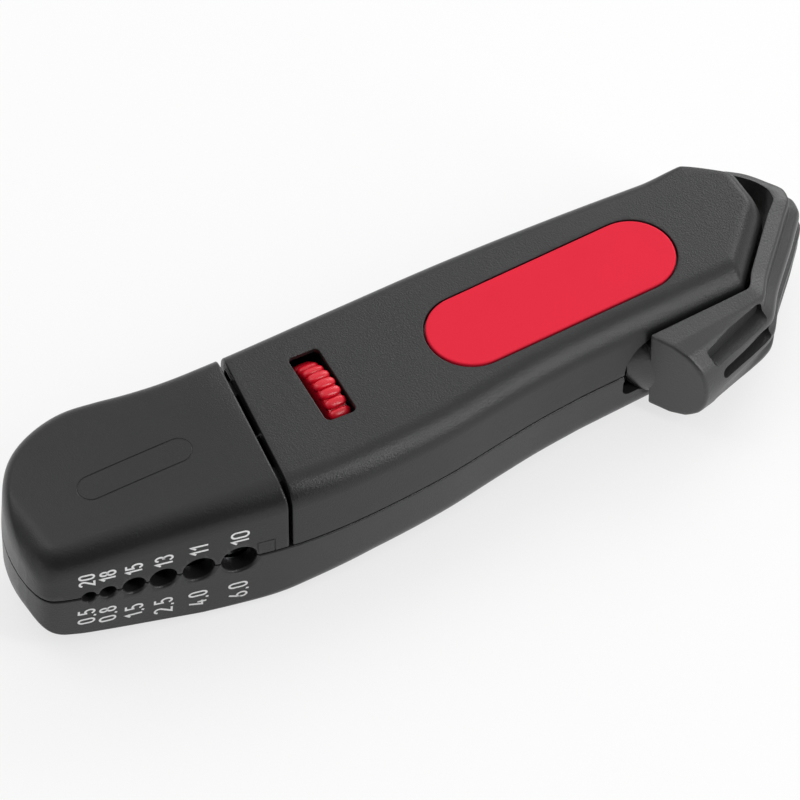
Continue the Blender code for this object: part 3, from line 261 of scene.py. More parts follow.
def finishPiece(piece, body, nodes, slot, smoothAngle=32, finish=None):
    piece.data.transform(toGround)
    piece.data.materials.clear()
    piece.data.materials.append(materials[finish or slot])
    for polygon in piece.data.polygons:
        polygon.material_index = 0
    piece.data.shade_smooth()
    piece.data.set_sharp_from_angle(angle=radians(smoothAngle))
    weighted = piece.modifiers.new("weighted", "WEIGHTED_NORMAL")
    weighted.keep_sharp = True
    bake(piece)
    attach(piece, body)
    if nodes:
        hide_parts(*nodes)


def lineFrame(start, end):
    along = (Vector(end) - Vector(start)).normalized()
    across = Vector((0, 0, 1)).cross(along).normalized()
    turn = Matrix((along, across, along.cross(across))).transposed().to_4x4()
    return Matrix.Translation(start) @ turn


# a profile of places along X with their radii, turned round X
def turnedMesh(profile, sides, offset=0.5, closed=False):
    return meshFromRings([[Vector((x, radius * cosine, radius * sine))
                           for cosine, sine in circle(sides, offset)]
                          for x, radius in profile], closed)


# an outline raised along Z; flare rounds its upper edge outwards
def prismMesh(outline, low, high, flare=0.0):
    levels = [(low, 0.0)]
    if flare:
        levels += [(flare * sine - flare, flare * (1 - cosine)) for sine, cosine in quarter(4)]
    rings = []
    for z, grow in levels + [(high, flare)]:
        ring = []
        for i, here in enumerate(outline):
            after = Vector(outline[(i + 1) % len(outline)])
            edge = (after - Vector(outline[i - 1])).normalized()
            ring.append(Vector((*(Vector(here) + Vector((edge.y, -edge.x)) * grow), z)))
        rings.append(ring)
    return meshFromRings(rings)


def prismTool(outline, low, high, where=None, flare=0.0):
    return newPiece("prismTool", prismMesh(outline, low, high, flare), where)


def boxTool(low, high, where=None):
    outline = [(low[0], low[1]), (high[0], low[1]), (high[0], high[1]), (low[0], high[1])]
    return prismTool(outline, low[2], high[2], where)


def rodTool(start, end, radius, where=None, sides=32):
    return newPiece("rodTool", turnedMesh([(start, radius), (end, radius)], sides), where)


def roundedRectangle(length, width, radius, steps):
    points = []
    for sideX, sideY, start in ((1, 1, 0), (-1, 1, 90), (-1, -1, 180), (1, -1, 270)):
        for step in range(steps + 1):
            angle = radians(start + 90 * step / steps)
            points.append((sideX * (length / 2 - radius) + radius * cos(angle),
                           sideY * (width / 2 - radius) + radius * sin(angle)))
    return points


def stadium(straight, radius, steps=24):
    points = []
    for side, start in ((1, -90), (-1, 90)):
        for step in range(steps + 1):
            angle = radians(start + 180 * step / steps)
            points.append((side * straight / 2 + radius * cos(angle),
                           radius * sin(angle)))
    return points


def socketOf(value):
    return value.outputs[0] if isinstance(value, bpy.types.Node) else value


# makes a node, sets its values and links whatever is given as a node or a socket
def addNode(tree, kind, inputs=None, **settings):
    made = tree.nodes.new(kind)
    for key, value in settings.items():
        setattr(made, key, value)
    for key, value in (inputs or {}).items():
        value = socketOf(value)
        if isinstance(value, bpy.types.NodeSocket):
            tree.links.new(value, made.inputs[key])
        else:
            made.inputs[key].default_value = value
    return made


def calc(tree, operation, first, second):
    return addNode(tree, "ShaderNodeMath", {0: first, 1: second}, operation=operation)


def addNoise(tree, where, scale, detail, roughness=0.5):
    return addNode(tree, "ShaderNodeTexNoise", {"Vector": where, "Scale": scale,
                                                "Detail": detail, "Roughness": roughness})


def newGroup(name, inputs, outputs, kind="ShaderNodeTree"):
    group = bpy.data.node_groups.new(name, kind)
    for label, socketType, value in inputs:
        socket = group.interface.new_socket(label, in_out="INPUT", socket_type=socketType)
        if value is not None:
            socket.default_value = value
    for label, socketType in outputs:
        group.interface.new_socket(label, in_out="OUTPUT", socket_type=socketType)
    given, result = (group.nodes.new(kind) for kind in ("NodeGroupInput", "NodeGroupOutput"))
    return group, given.outputs, result.inputs


def newEffect(name, inputs):
    group, given, result = newGroup(name, inputs, [("Height", "NodeSocketFloat"),
                                                   ("Tone", "NodeSocketFloat")])
    return group, given, result, addNode(group, "ShaderNodeTexCoord").outputs["Object"]


def endEffect(group, result, height, tone):
    group.links.new(height.outputs[0], result["Height"])
    group.links.new(tone.outputs[0], result["Tone"])


# the spark-eroded grain of the mould: a fine height, and a slow blotchy tone
grain, given, result, place = newEffect("mouldGrain", [
    ("Grain Size", "NodeSocketFloat", 0.00030), ("Blotch Size", "NodeSocketFloat", 0.012)])
fineNoise = addNoise(grain, place, calc(grain, "DIVIDE", 1.0, given["Grain Size"]), 2.0, 0.6)
slowNoise = addNoise(grain, place, calc(grain, "DIVIDE", 1.0, given["Blotch Size"]), 3.0)
endEffect(grain, result, fineNoise, slowNoise)

# marks of the lathe or the grinding wheel: fine lines across one direction
toolMarks, given, result, place = newEffect("toolMarks", [
    ("Line Spacing", "NodeSocketFloat", 0.00015),
    ("Stretch", "NodeSocketVector", (1.0, 0.05, 0.05))])
stretched = addNode(toolMarks, "ShaderNodeMapping", {"Vector": place, "Scale": given["Stretch"]})
lineScale = calc(toolMarks, "DIVIDE", 1.0, given["Line Spacing"])
endEffect(toolMarks, result, addNoise(toolMarks, stretched, lineScale, 3.0, 0.6),
          addNoise(toolMarks, place, 220.0, 2.0))

finishes = {
    "charcoal_plastic": {"colour": (0.017, 0.017, 0.0175), "rough": 0.33, "grain": 0.00028,
                         "bump": 1.0, "tone": 0.12, "shine": 0.38},
    "bail_plastic": {"colour": (0.036, 0.036, 0.037), "rough": 0.36, "grain": 0.00034,
                     "bump": 1.0, "tone": 0.14, "shine": 0.55},
    "red_plastic": {"colour": (0.740, 0.014, 0.040), "rough": 0.50, "grain": 0.00030,
                    "bump": 0.25, "tone": 0.04, "shine": 0.12},
    "wheel_red": {"colour": (0.680, 0.006, 0.022), "rough": 0.30, "grain": 0.00060,
                  "bump": 0.10, "tone": 0.05, "shine": 0.50},
    "printWhite": {"colour": (0.86, 0.86, 0.86), "rough": 0.60, "grain": 0.00030,
                   "bump": 0.10, "tone": 0.05, "shine": 0.20},
    "steel": {"colour": (0.56, 0.57, 0.58), "rough": 0.30, "lines": 0.00016, "bump": 0.20,
              "stretch": (1.0, 0.04, 0.04), "tone": 0.10},
    "blade_steel": {"colour": (0.66, 0.67, 0.69), "rough": 0.20, "lines": 0.00010,
                    "bump": 0.15, "stretch": (1.0, 0.04, 0.04), "tone": 0.06},
    "brass": {"colour": (0.72, 0.50, 0.20), "rough": 0.32, "lines": 0.00018, "bump": 0.18,
              "stretch": (1.0, 0.05, 0.05), "tone": 0.12},
    "zinc_screw": {"colour": (0.50, 0.51, 0.53), "rough": 0.36, "lines": 0.00020,
                   "bump": 0.15, "stretch": (1.0, 1.0, 0.10), "tone": 0.15},
}
roughSpread = 0.04
bumpHeight = 0.00005


def makeMaterial(name):
    look = finishes[name]
    material = bpy.data.materials.new(name)
    material.use_nodes = True
    tree = material.node_tree
    shader = tree.nodes["Principled BSDF"]
    effect = addNode(tree, "ShaderNodeGroup", node_tree=grain if "grain" in look else toolMarks)
    if "grain" in look:
        effect.inputs["Grain Size"].default_value = look["grain"]
        shader.inputs["Specular IOR Level"].default_value = look["shine"]
    else:
        effect.inputs["Line Spacing"].default_value = look["lines"]
        effect.inputs["Stretch"].default_value = look["stretch"]
        shader.inputs["Metallic"].default_value = 1.0
    tone, rough = effect.outputs["Tone"], look["rough"]
    low = [channel * (1 - look["tone"]) for channel in look["colour"]]
    high = [channel * (1 + look["tone"]) for channel in look["colour"]]
    colour = addNode(tree, "ShaderNodeMix", {"Factor": tone, 6: (*low, 1), 7: (*high, 1)},
                     data_type="RGBA")
    roughness = addNode(tree, "ShaderNodeMapRange", {0: tone, 3: rough - roughSpread,
                                                     4: rough + roughSpread})
    bump = addNode(tree, "ShaderNodeBump", {"Strength": look["bump"], "Distance": bumpHeight,
                                            "Height": effect.outputs["Height"]})
    tree.links.new(colour.outputs[2], shader.inputs["Base Color"])
    tree.links.new(roughness.outputs[0], shader.inputs["Roughness"])
    tree.links.new(bump.outputs[0], shader.inputs["Normal"])
    return material


materials = {name: makeMaterial(name) for name in finishes}
print("cable knife: finishes ready")

# frames of the moving parts, in the tool's own frame
wheelCentre = (-0.0087, 0.0088, 0.0036)
bladeExit = (tailX, 0.0070, 0.0)
spindleFrame = lineFrame(wheelCentre, bladeExit)
exitU = (Vector(bladeExit) - Vector(wheelCentre)).length
hinge = {
    "behindGap": 0.0040, "belowTop": 0.0051, "pinRadius": 0.0012, "pinSeat": 0.0006,
    "eyeRadius": 0.0023, "armThickness": 0.0030, "armSpacing": 0.0180, "armReach": 0.0055,
    "armDepth": 0.0020, "bevelRise": 0.0028,
}
pinX = gapMiddleX + hinge["behindGap"]
pinCentre = (pinX, gapMiddleY, flatTop(pinX) - hinge["belowTop"])
lidFrame = Matrix.Translation(pinCentre) @ Matrix.Rotation(-grip["gapTurn"], 4, "Z")
sideways = Matrix.Rotation(pi / 2, 4, "Z")
turnedUp = Matrix.Rotation(-pi / 2, 4, "X")


def upright(x, y, z=0.0):
    return Matrix.Translation((x, y, z)) @ Matrix.Rotation(-pi / 2, 4, "Y")


def downward(where, along):
    return where @ Matrix.Translation((along, 0, 0)) @ Matrix.Rotation(pi / 2, 4, "Y")


# the two shells and the jaw: one fine skin, then the pockets are cut out of it
skin = {
    "step": 0.0009, "leastStep": 0.0002,      # spacing of the cross-sections
    "noseStep": 0.00025, "noseGrowth": 0.00065, "noseLength": 0.009,
    "tailShare": 0.45, "tailLength": 0.0115,  # closer cross-sections at the tail
    "lip": 0.00025,       # small round where the halves meet
    "endRound": 0.0003,   # small round at the jaw's gap, the nose and the tail
    "leanLength": 0.012,  # length over which the sections turn to the gap's angle
    "bevelLength": 0.003,
}


def skinStations(low, high):
    ends = [skin["endRound"] * (1 - cosine) for _, cosine in quarter(3)]
    marks = [low + end for end in ends]
    x = marks[-1]
    while x < high - skin["endRound"] - skin["step"]:
        if low == noseX and x < low + skin["noseLength"]:
            x += skin["noseStep"] + skin["noseGrowth"] * (x - low) / skin["noseLength"]
        else:
            x += skin["step"] * (skin["tailShare"] if x > tailX - skin["tailLength"] else 1.0)
        marks.append(x)
    marks = [mark for mark in marks if mark < high - skin["endRound"] - skin["leastStep"]]
    return marks + [high - end for end in ends[::-1]]


def skinHalf(name, low, high, side, leanAt=None, bevelAbove=None):
    rings = []
    for x in skinStations(low, high):
        end = min(x - low, high - x, skin["endRound"])
        lean = 0.0
        if leanAt is not None:
            share = max(1 - abs(x - leanAt) / skin["leanLength"], 0.0)
            lean = tan(grip["gapTurn"]) * share * share * (3 - 2 * share)
        ring = crossRing(x, side, lip=skin["lip"], lean=lean,
                         shrink=edgeDrop(end, skin["endRound"]))
        if bevelAbove is not None:
            share = max(1 - (high - x) / skin["bevelLength"], 0.0) ** 2
            for point in ring:
                point.x -= share * grip["gapBevel"] * max(point.z - bevelAbove, 0.0)
        rings.append(ring)
    return newPiece(name, meshFromRings(rings))


inside = {
    "jawStart": noseX + 0.0034, "jawBar": 0.0085,
    "barEnd": -0.0288, "barStep": 0.0004, "barClear": 0.001,
    "hingeEnd": -0.0133, "wheelLow": wheelCentre[0] - 0.0026, "wheelHigh": wheelCentre[0] + 0.0026,
    "ribEnd": -0.0034, "crossRib": (tailX - 0.0367, tailX - 0.0322), "tailBlock": tailX - 0.0112,
    "bossRadius": 0.0030, "saddleHalf": 0.0024, "step": 0.004,
}


def pocket(low, high, side, roof, bar=False):
    count = max(int((high - low) / inside["step"]), 2)
    marks = [low + (high - low) * k / count for k in range(count + 1)]
    end = inside["barEnd"]
    if bar:
        marks = [mark for mark in marks if abs(mark - end) > inside["barClear"]]
        marks = sorted(marks + [end, end + inside["barStep"]])
    rings = [crossRing(x, side, inside["jawBar"] if bar and x <= end else wall, wall, roof, -wall,
                       fine=False) for x in marks]
    return newPiece("pocketTool", meshFromRings(rings))


# wire holes: distance along the jaw's wall, mouth and conductor diameters
wireHoles = {
    "start": (-0.0558, 0.0),
    "turn": radians(-13.8),
    "sizes": [(0.0, 0.0027, 0.00080), (0.0031, 0.0033, 0.00100), (0.0073, 0.0044, 0.00138),
              (0.0120, 0.0051, 0.00178), (0.0177, 0.0059, 0.00226), (0.0242, 0.0065, 0.00276)],
    "insulation": 0.00075,
    "rim": 0.00055,        # round edge of each mouth, at most
    "ease": 0.0001, "throat": 0.0062, "shoulder": 0.0003,
    "bladeInset": 0.0036, "bladeThickness": 0.0007, "bladeHeight": 0.0052, "bladeMargin": 0.0027,
    "bladeFoot": 0.003,
}


def holePoint(distance, depth):
    turn = wireHoles["turn"]
    x = wireHoles["start"][0] + cos(turn) * distance - sin(turn) * depth
    y = wireHoles["start"][1] + sin(turn) * distance + cos(turn) * depth
    return (x, y, 0.0)


def holeFrame(distance):
    return lineFrame(holePoint(distance, 0.0), holePoint(distance, 0.01))


def holeTool(distance, mouth, conductor):
    bore = conductor / 2 + wireHoles["insulation"]
    outer = mouth / 2 + wireHoles["ease"]
    rim = min(wireHoles["rim"], outer - bore)
    profile = [(-overrun, outer)]
    profile += [(rim - rim * cosine, outer - rim * sine) for sine, cosine in quarter(6)]
    profile += [(wireHoles["throat"], outer - rim),
                (wireHoles["throat"] + wireHoles["shoulder"], bore),
                (inside["jawBar"] + wall, bore)]
    return newPiece("holeTool", turnedMesh(profile, 40), holeFrame(distance))


def bladeSlotTool(side):
    half = wireHoles["bladeThickness"] / 2 + gap
    length = wireHoles["sizes"][-1][0] + wireHoles["bladeMargin"] + gap
    low, high = sorted((-side * wireHoles["bladeFoot"],
                        side * (wireHoles["bladeHeight"] + 2 * gap)))
    return boxTool((wireHoles["bladeInset"] - half, -length, low),
                   (wireHoles["bladeInset"] + half, wireHoles["bladeMargin"] + gap, high),
                   holeFrame(0.0))


# guides for the spindle, the bail's rod and the screws
guides = {
    "threadRadius": 0.0024, "threadStart": -0.0068, "threadEnd": 0.0100, "shaftRadius": 0.0018,
    "sleeveHalf": 0.0030, "sleeveInset": 0.0094, "sleeveLength": 0.0160, "travel": 0.0024,
    "bushOuter": 0.0031, "rodY": -0.0010, "rodBushRadius": 0.0026,
    "footStart": tailX - 0.0274, "footHalf": 0.0045, "footInnerY": 0.0008, "footOutside": 0.03,
    "recessX": tailX - 0.0319, "recessRadius": 0.0062, "recessDepth": 0.0012,
    # the dark room round the bail's neck
    "room": 0.0046, "roomExtra": 0.0020, "roomShift": 0.0010, "roomRise": 0.0028,
    "roomHeight": 0.0048, "roomCorner": 0.0016, "roomOutside": 0.004, "roomDepth": 0.0035,
}
screws = {
    "places": [(0.0008, 0.0166), (0.0300, 0.0156), (0.0606, 0.0134)],
    "shank": 0.0012, "head": 0.0025, "headHeight": 0.0015, "length": 0.0144, "reach": 0.0060,
    "counterbore": 0.0026, "mouth": 0.0018, "mouthDepth": 0.0002,
    "recessWidth": 0.00052, "recessLength": 0.0026, "recessDepth": 0.0009,
}
sleeveEnd = exitU - guides["sleeveInset"]
sleeveStart = sleeveEnd - guides["sleeveLength"]
bushStart = sleeveEnd + guides["travel"] + gap
rodLine = Matrix.Translation((0.0, guides["rodY"], 0.0))


def guideTools():
    thread, shaft = guides["threadRadius"] + gap, guides["shaftRadius"] + gap
    half, foot = guides["sleeveHalf"] + gap, guides["footHalf"] + gap
    threadEnd, bend = guides["threadEnd"] + overrun, guides["recessRadius"]
    ribStart, ribEnd = inside["crossRib"]
    profile = [(guides["threadStart"] - gap, thread), (threadEnd, thread), (threadEnd, shaft),
               (sleeveStart, shaft)]
    recess = [(x + guides["recessX"] + 2 * bend, z) for x, z in stadium(2 * bend, bend)]
    room = roundedRectangle(guides["room"] + guides["roomExtra"], guides["roomHeight"],
                            guides["roomCorner"], 6)
    room = [(x + guides["footStart"] - guides["room"] / 2 + guides["roomShift"],
             z + guides["roomRise"]) for x, z in room]
    tools = [
        newPiece("spindleTool", turnedMesh(profile, 24), spindleFrame),
        boxTool((sleeveStart - overrun, -half, -half), (bushStart + gap, half, half), spindleFrame),
        rodTool(bushStart - gap, exitU + overrun, guides["bushOuter"] + gap, spindleFrame),
        rodTool(ribStart - overrun, ribEnd + overrun, guides["rodBushRadius"] + gap, rodLine),
        boxTool((guides["footStart"] - 2 * gap, -guides["footOutside"], -foot),
                (tailX + overrun, guides["footInnerY"] + gap, foot)),
        prismTool(room, nearRear - guides["roomOutside"], nearRear + guides["roomDepth"], turnedUp),
        prismTool(recess, nearRear - overrun, nearRear + guides["recessDepth"], turnedUp),
    ]
    head, shank = screws["head"] + gap, screws["shank"] + gap
    for x, y in screws["places"]:
        bottom = -topHeight(x)
        seat = bottom + screws["counterbore"]
        hole = [(bottom - overrun, head + screws["mouth"]), (bottom + screws["mouthDepth"], head),
                (seat, head), (seat, shank), (screws["reach"] + gap, shank)]
        tools.append(newPiece("screwTool", turnedMesh(hole, 32), upright(x, y)))
    return tools


def bossTools(side):
    tools = []
    for x, y in screws["places"][:2]:
        low, high = sorted((side * grip["parting"] / 2, side * (topHeight(x) - wall / 2)))
        tools.append(rodTool(0.0, high - low, inside["bossRadius"], upright(x, y, low), 24))
    return tools


def shellPockets(side):
    ribStart, ribEnd = inside["crossRib"]
    return [pocket(inside["wheelLow"], inside["wheelHigh"], side, wall),
            pocket(inside["ribEnd"], ribStart, side, grip["roof"]),
            pocket(ribEnd, inside["tailBlock"], side, grip["roof"])]


def ribBox(low, high, half):
    middle = spindleFrame @ Vector(((low + high) / 2 - wheelCentre[0], 0, 0))
    return boxTool((low, middle.y - half, -wall), (high, middle.y + half, middle.z))


holeTools = [holeTool(*size) for size in wireHoles["sizes"]]
innerTools = guideTools()


# hollows a half, joins its ribs and bosses to it, cuts the rest and hands it on
def finishHalf(half, pockets, joined, cuts, body, node):
    carve(half, pockets)
    carve(half, joined, "UNION")
    carve(half, cuts)
    clearAway(pockets + joined + [tool for tool in cuts if tool not in holeTools + innerTools])
    finishPiece(half, body, [node], "charcoal_plastic")


def makeLowerShell():
    saddles = [ribBox(inside["hingeEnd"], inside["wheelLow"], inside["saddleHalf"]),
               ribBox(inside["wheelHigh"], inside["ribEnd"], inside["saddleHalf"])]
    hollow = pocket(inside["jawStart"], inside["hingeEnd"], -1, wall, bar=True)
    finishHalf(skinHalf("lowerShell", noseX, tailX, -1), [hollow] + shellPockets(-1),
               saddles + bossTools(-1), holeTools + [bladeSlotTool(-1)] + innerTools,
               "housing", "lower_shell")


wheelSlot = {
    "centre": (-0.0087, 0.0087), "length": 0.0136, "width": 0.0052, "corner": 0.0009,
    "turn": radians(4.5), "edge": 0.00020, "roof": 0.0008, "undercut": 0.0005,
    "depth": 0.005, "underDepth": 0.006, "slotOverlap": 0.001,
}
inlay = {
    "centre": (0.0314, 0.00635), "straight": 0.0294, "radius": 0.0070, "recess": 0.0012,
    "proud": 0.00015, "edge": 0.0003, "seatEdge": 0.00015,
}
inlayFrame = (Matrix.Translation((*inlay["centre"], flatTop(inlay["centre"][0])))
              @ Matrix.Rotation(grip["taper"], 4, "Y"))


def lidPinHalf():
    inner = farWall(pinX) - nearWall(pinX) - 2 * wall
    return inner / 2 / cos(grip["gapTurn"]) + hinge["pinSeat"]


def makeUpperShell():
    front = gapMiddleX + grip["gapWidth"] / 2 / cos(grip["gapTurn"])
    wide, overlap = guides["threadRadius"] + gap, wheelSlot["slotOverlap"]
    corner, undercut = wheelSlot["corner"], wheelSlot["undercut"]
    at = (Matrix.Translation((*wheelSlot["centre"], flatTop(wheelSlot["centre"][0])))
          @ Matrix.Rotation(-wheelSlot["turn"], 4, "Z") @ Matrix.Rotation(grip["taper"], 4, "Y"))
    opening = roundedRectangle(wheelSlot["width"], wheelSlot["length"], corner, 5)
    under = roundedRectangle(wheelSlot["width"] + 2 * undercut, wheelSlot["length"] + 4 * undercut,
                             corner, 5)
    seat = stadium(inlay["straight"], inlay["radius"] + gap)
    pinHalf = lidPinHalf() + gap
    slots = [
        ribBox(inside["hingeEnd"] - overrun, inside["wheelLow"] + overlap, wide),
        ribBox(inside["wheelHigh"] - overlap, inside["ribEnd"] + overrun, wide),
        ribBox(inside["crossRib"][0] - overrun, inside["crossRib"][1] + overrun,
               guides["shaftRadius"] + gap),
        prismTool(opening, -wheelSlot["depth"], overrun, at, wheelSlot["edge"]),
        prismTool(under, -wheelSlot["underDepth"], -wheelSlot["roof"], at),
        prismTool(seat, -inlay["recess"], overrun, inlayFrame, inlay["seatEdge"]),
        rodTool(-pinHalf, pinHalf, hinge["pinRadius"] + gap, lidFrame @ sideways),
    ]
    hollow = pocket(grip["gapX"] - 2 * overrun, inside["hingeEnd"], 1, wall)
    finishHalf(skinHalf("upperShell", front, tailX, 1, leanAt=front), [hollow] + shellPockets(1),
               bossTools(1), slots + innerTools, "housing", "upper_shell")


# point on the jaw's near wall: s along the line of holes, up the wall and over its fillet by arc
# length; a negative arc goes down the lower half
def wallPoint(s, arc, lift):
    x = wireHoles["start"][0] + s * cos(wireHoles["turn"])
    side = 1 if arc >= 0 else -1
    top = topHeight(x)
    radius = min(nearFillet(x, side), grip["filletWidthShare"] * (farWall(x) - nearWall(x)),
                 grip["filletHeightShare"] * top)
    ridge = top - radius
    rise = min(abs(arc), ridge)
    angle = min(max(abs(arc) - ridge, 0.0) / radius, pi / 2)
    slope = (nearWall(x + 0.0002) - nearWall(x - 0.0002)) / 0.0004
    outward = Vector((slope, -1.0, 0.0)).normalized()
    y = nearWall(x) + grip["draft"] * rise / ridge + radius * (1 - cos(angle))
    z = rise + radius * sin(angle)
    normal = outward * cos(angle) + Vector((0, 0, 1)) * sin(angle)
    point = Vector((x, y, z)) + normal * lift
    return Vector((point.x, point.y, side * point.z))


# thin outline on the jaw's top, left bare, and a small one beside the gap on its near wall
engraving = {
    "centre": (-0.0415, 0.0102), "straight": 0.0145, "radius": 0.00225,
    "tilt": radians(-6.5), "groove": 0.00012, "lift": 0.00002,
    "tab": [(0.0271, 0.0003), (0.0271, 0.0030), (0.0299, 0.0030), (0.0299, 0.0003)],
    "tabMiddle": (0.029, 0.001),
}


def grooveTool(path, ups, closed):
    rings = []
    for i, (point, up) in enumerate(zip(path, ups)):
        before, after = max(i - 1, 0), min(i + 1, len(path) - 1)
        if closed:
            before, after = i - 1, (i + 1) % len(path)
        out = (path[after] - path[before]).cross(up).normalized()
        rings.append([point + engraving["groove"] * (cosine * out + sine * up)
                      for cosine, sine in circle(8)])
    return newPiece("grooveTool", meshFromRings(rings, closed=closed))


def engravingTools():
    path = []
    for x, y in stadium(engraving["straight"], engraving["radius"], 16):
        turned = Matrix.Rotation(engraving["tilt"], 2) @ Vector((x, y))
        x, y = engraving["centre"][0] + turned.x, engraving["centre"][1] + turned.y
        path.append(Vector((x, y, topHeight(x) + engraving["lift"])))
    corners = [Vector(corner) for corner in engraving["tab"]]
    tab = [a.lerp(b, k / 8) for a, b in zip(corners, corners[1:]) for k in range(8)]
    tab = [wallPoint(s, arc, engraving["lift"]) for s, arc in tab + corners[-1:]]
    up = wallPoint(*engraving["tabMiddle"], 1.0) - wallPoint(*engraving["tabMiddle"], 0.0)
    return [grooveTool(path, [Vector((0, 0, 1))] * len(path), True),
            grooveTool(tab, [up] * len(tab), False)]


def armTools():
    stepX = -(hinge["behindGap"] * cos(grip["gapTurn"])) - grip["gapWidth"] / 2 - wall
    eye, under, over = hinge["eyeRadius"], -hinge["armDepth"], hinge["belowTop"] - wall / 2
    profile = [(stepX - hinge["armReach"], under, over), (stepX - gap, under, over),
               (stepX, under, eye)]
    profile += [(eye * sine, -eye * cosine, eye * cosine) for sine, cosine in quarter(12)[:-1]]
    tools = []
    for middle in (-hinge["armSpacing"] / 2, hinge["armSpacing"] / 2):
        near, far = middle - hinge["armThickness"] / 2, middle + hinge["armThickness"] / 2
        rings = [[Vector((x, near, low)), Vector((x, far, low)), Vector((x, far, high)),
                  Vector((x, near, high))] for x, low, high in profile]
        tools.append(newPiece("armTool", meshFromRings(rings), lidFrame))
    return tools


def makeLid():
    rear = gapMiddleX - grip["gapWidth"] / 2 / cos(grip["gapTurn"])
    hollow = pocket(inside["jawStart"], rear + 3 * overrun, 1, wall, bar=True)
    eye = rodTool(-hinge["armSpacing"], hinge["armSpacing"], hinge["pinRadius"] + gap,
                  lidFrame @ sideways)
    finishHalf(skinHalf("strippingLid", noseX, rear, 1, rear, pinCentre[2] + hinge["bevelRise"]),
               [hollow], armTools(), holeTools + [bladeSlotTool(1), eye] + engravingTools(),
               "lid", "stripping_lid")


makeLowerShell()
makeUpperShell()
makeLid()
clearAway(holeTools + innerTools)
print("cable knife: shells and jaw carved")


def makeInlay():
    levels = [(-inlay["recess"] + gap, 0.0)]
    levels += [(inlay["proud"] - inlay["edge"] * (1 - sine), inlay["edge"] * (1 - cosine))
               for sine, cosine in quarter(5)]
    rings = [[Vector((x, y, z)) for x, y in stadium(inlay["straight"], inlay["radius"] - less, 32)]
             for z, less in levels]
    piece = newPiece("gripInlay", meshFromRings(rings), inlayFrame)
    finishPiece(piece, "housing", ["grip_inlay"], "red_plastic", 50)


makeInlay()

# the bail has a thumb rest, a near arm, an apex and a tip
bail = {
    # inner face and outer mid-line in plan, from the corner (tailX, nearRear), and the share of
    # the round thumb form
    "plan": [(-0.0277, -0.0003, -0.0229, -0.0097, 1.00), (-0.0242, -0.0003, -0.0198, -0.0090, 0.96),
             (-0.0192, -0.0003, -0.0156, -0.0078, 0.82), (-0.0142, -0.0003, -0.0116, -0.0066, 0.50),
             (-0.0100, -0.0003, -0.0078, -0.0051, 0.15), (-0.0070, 0.0027, -0.0037, -0.0005, 0.00),
             (0.0006, 0.0103, 0.0040, 0.0070, 0.00), (0.0034, 0.0130, 0.0077, 0.0113, 0.00),
             (0.0036, 0.0145, 0.0080, 0.0132, 0.00), (0.0030, 0.0165, 0.0057, 0.0170, 0.00),
             (0.0013, 0.0190, 0.0035, 0.0202, 0.00), (-0.0009, 0.0212, 0.0007, 0.0226, 0.00)],
    "halfHeight": 0.0080, "topShare": 0.56, "groove": 0.0007, "topEdge": 0.0003,
    "between": 8,          # cross-sections between two rows of the plan
    "edgeRound": 0.00035, "endRound": 0.0005, "endClear": 1.3,
    "footLength": 0.0142, "footRoot": 0.0005, "rodSeat": 0.0080, "rodRadius": 0.0015,
    "pinRadius": 0.0006, "pinHalf": 0.0065,
    "belly": 0.11,         # how much fuller the thumb rest is below than above
    # notches in the thumb rest: start and end along it, lower and upper height, depth and tilt
    "notches": [(-0.0202, -0.0082, 0.0040, 0.0070, 0.0030, 2.5),
                (-0.0190, -0.0078, 0.0003, 0.0025, 0.0034, 0.0),
                (-0.0202, -0.0082, -0.0070, -0.0040, 0.0030, -2.5)],
    "notchCorner": 0.0010, "notchOutside": 0.01,
    # the neck from the guide recess out to the thumb rest: x, outer y, middle and half height
    "neck": [(-0.0308, 0.0009, 0.0000, 0.0030), (-0.0298, 0.0002, -0.0006, 0.0044),
             (-0.0287, -0.0006, -0.0012, 0.0056), (-0.0275, -0.0013, -0.0016, 0.0064),
             (-0.0262, -0.0018, -0.0018, 0.0068)],
    "neckY": 0.0030,
}
bailRows = [(tailX + a, nearRear + b, tailX + c, nearRear + d, share)
            for a, b, c, d, share in bail["plan"]]


# value between rows without overshoot
def between(rows, index, t, column):
    here, there = rows[index][column], rows[index + 1][column]
    before = rows[max(index - 1, 0)][column]
    after = rows[min(index + 2, len(rows) - 1)][column]
    rise = there - here

    def tangent(first, second):
        return 0.0 if first * second <= 0 else 2 * first * second / (first + second)

    start = tangent(here - before, rise) if index > 0 else rise
    end = tangent(rise, after - there) if index + 2 < len(rows) else rise
    cubic = here * (1 + 2 * t) * (1 - t) ** 2 + there * t * t * (3 - 2 * t)
    return cubic + start * t * (1 - t) ** 2 + end * t * t * (t - 1)


# half a cross-section, out from the inner face: a mix of the flat band and the round thumb form
def bailProfile(share, reach):
    top = bail["topShare"]
    edge, groove = bail["topEdge"] / reach, bail["groove"] / reach
    band = [(0.0, 1.0), (top - edge, 0.94), (top, 0.90), (top + 0.02, 0.62), (0.86, 0.55),
            (0.93, 0.48), (0.95, 0.35), (0.95 - groove, 0.32), (0.95 - groove, 0.09),
            (1.0, 0.06), (1.0, 0.0)]
    thumb = [(0.0, 1.0), (0.38, 0.98), (0.64, 0.87), (0.75, 0.76), (0.85, 0.64), (0.88, 0.58),
             (0.91, 0.52), (0.955, 0.38), (0.985, 0.22), (0.995, 0.11), (1.0, 0.0)]
    return [(reach * (b[0] * (1 - share) + t[0] * share),
             (b[1] * (1 - share) + t[1] * share) * bail["halfHeight"])
            for b, t in zip(band, thumb)]


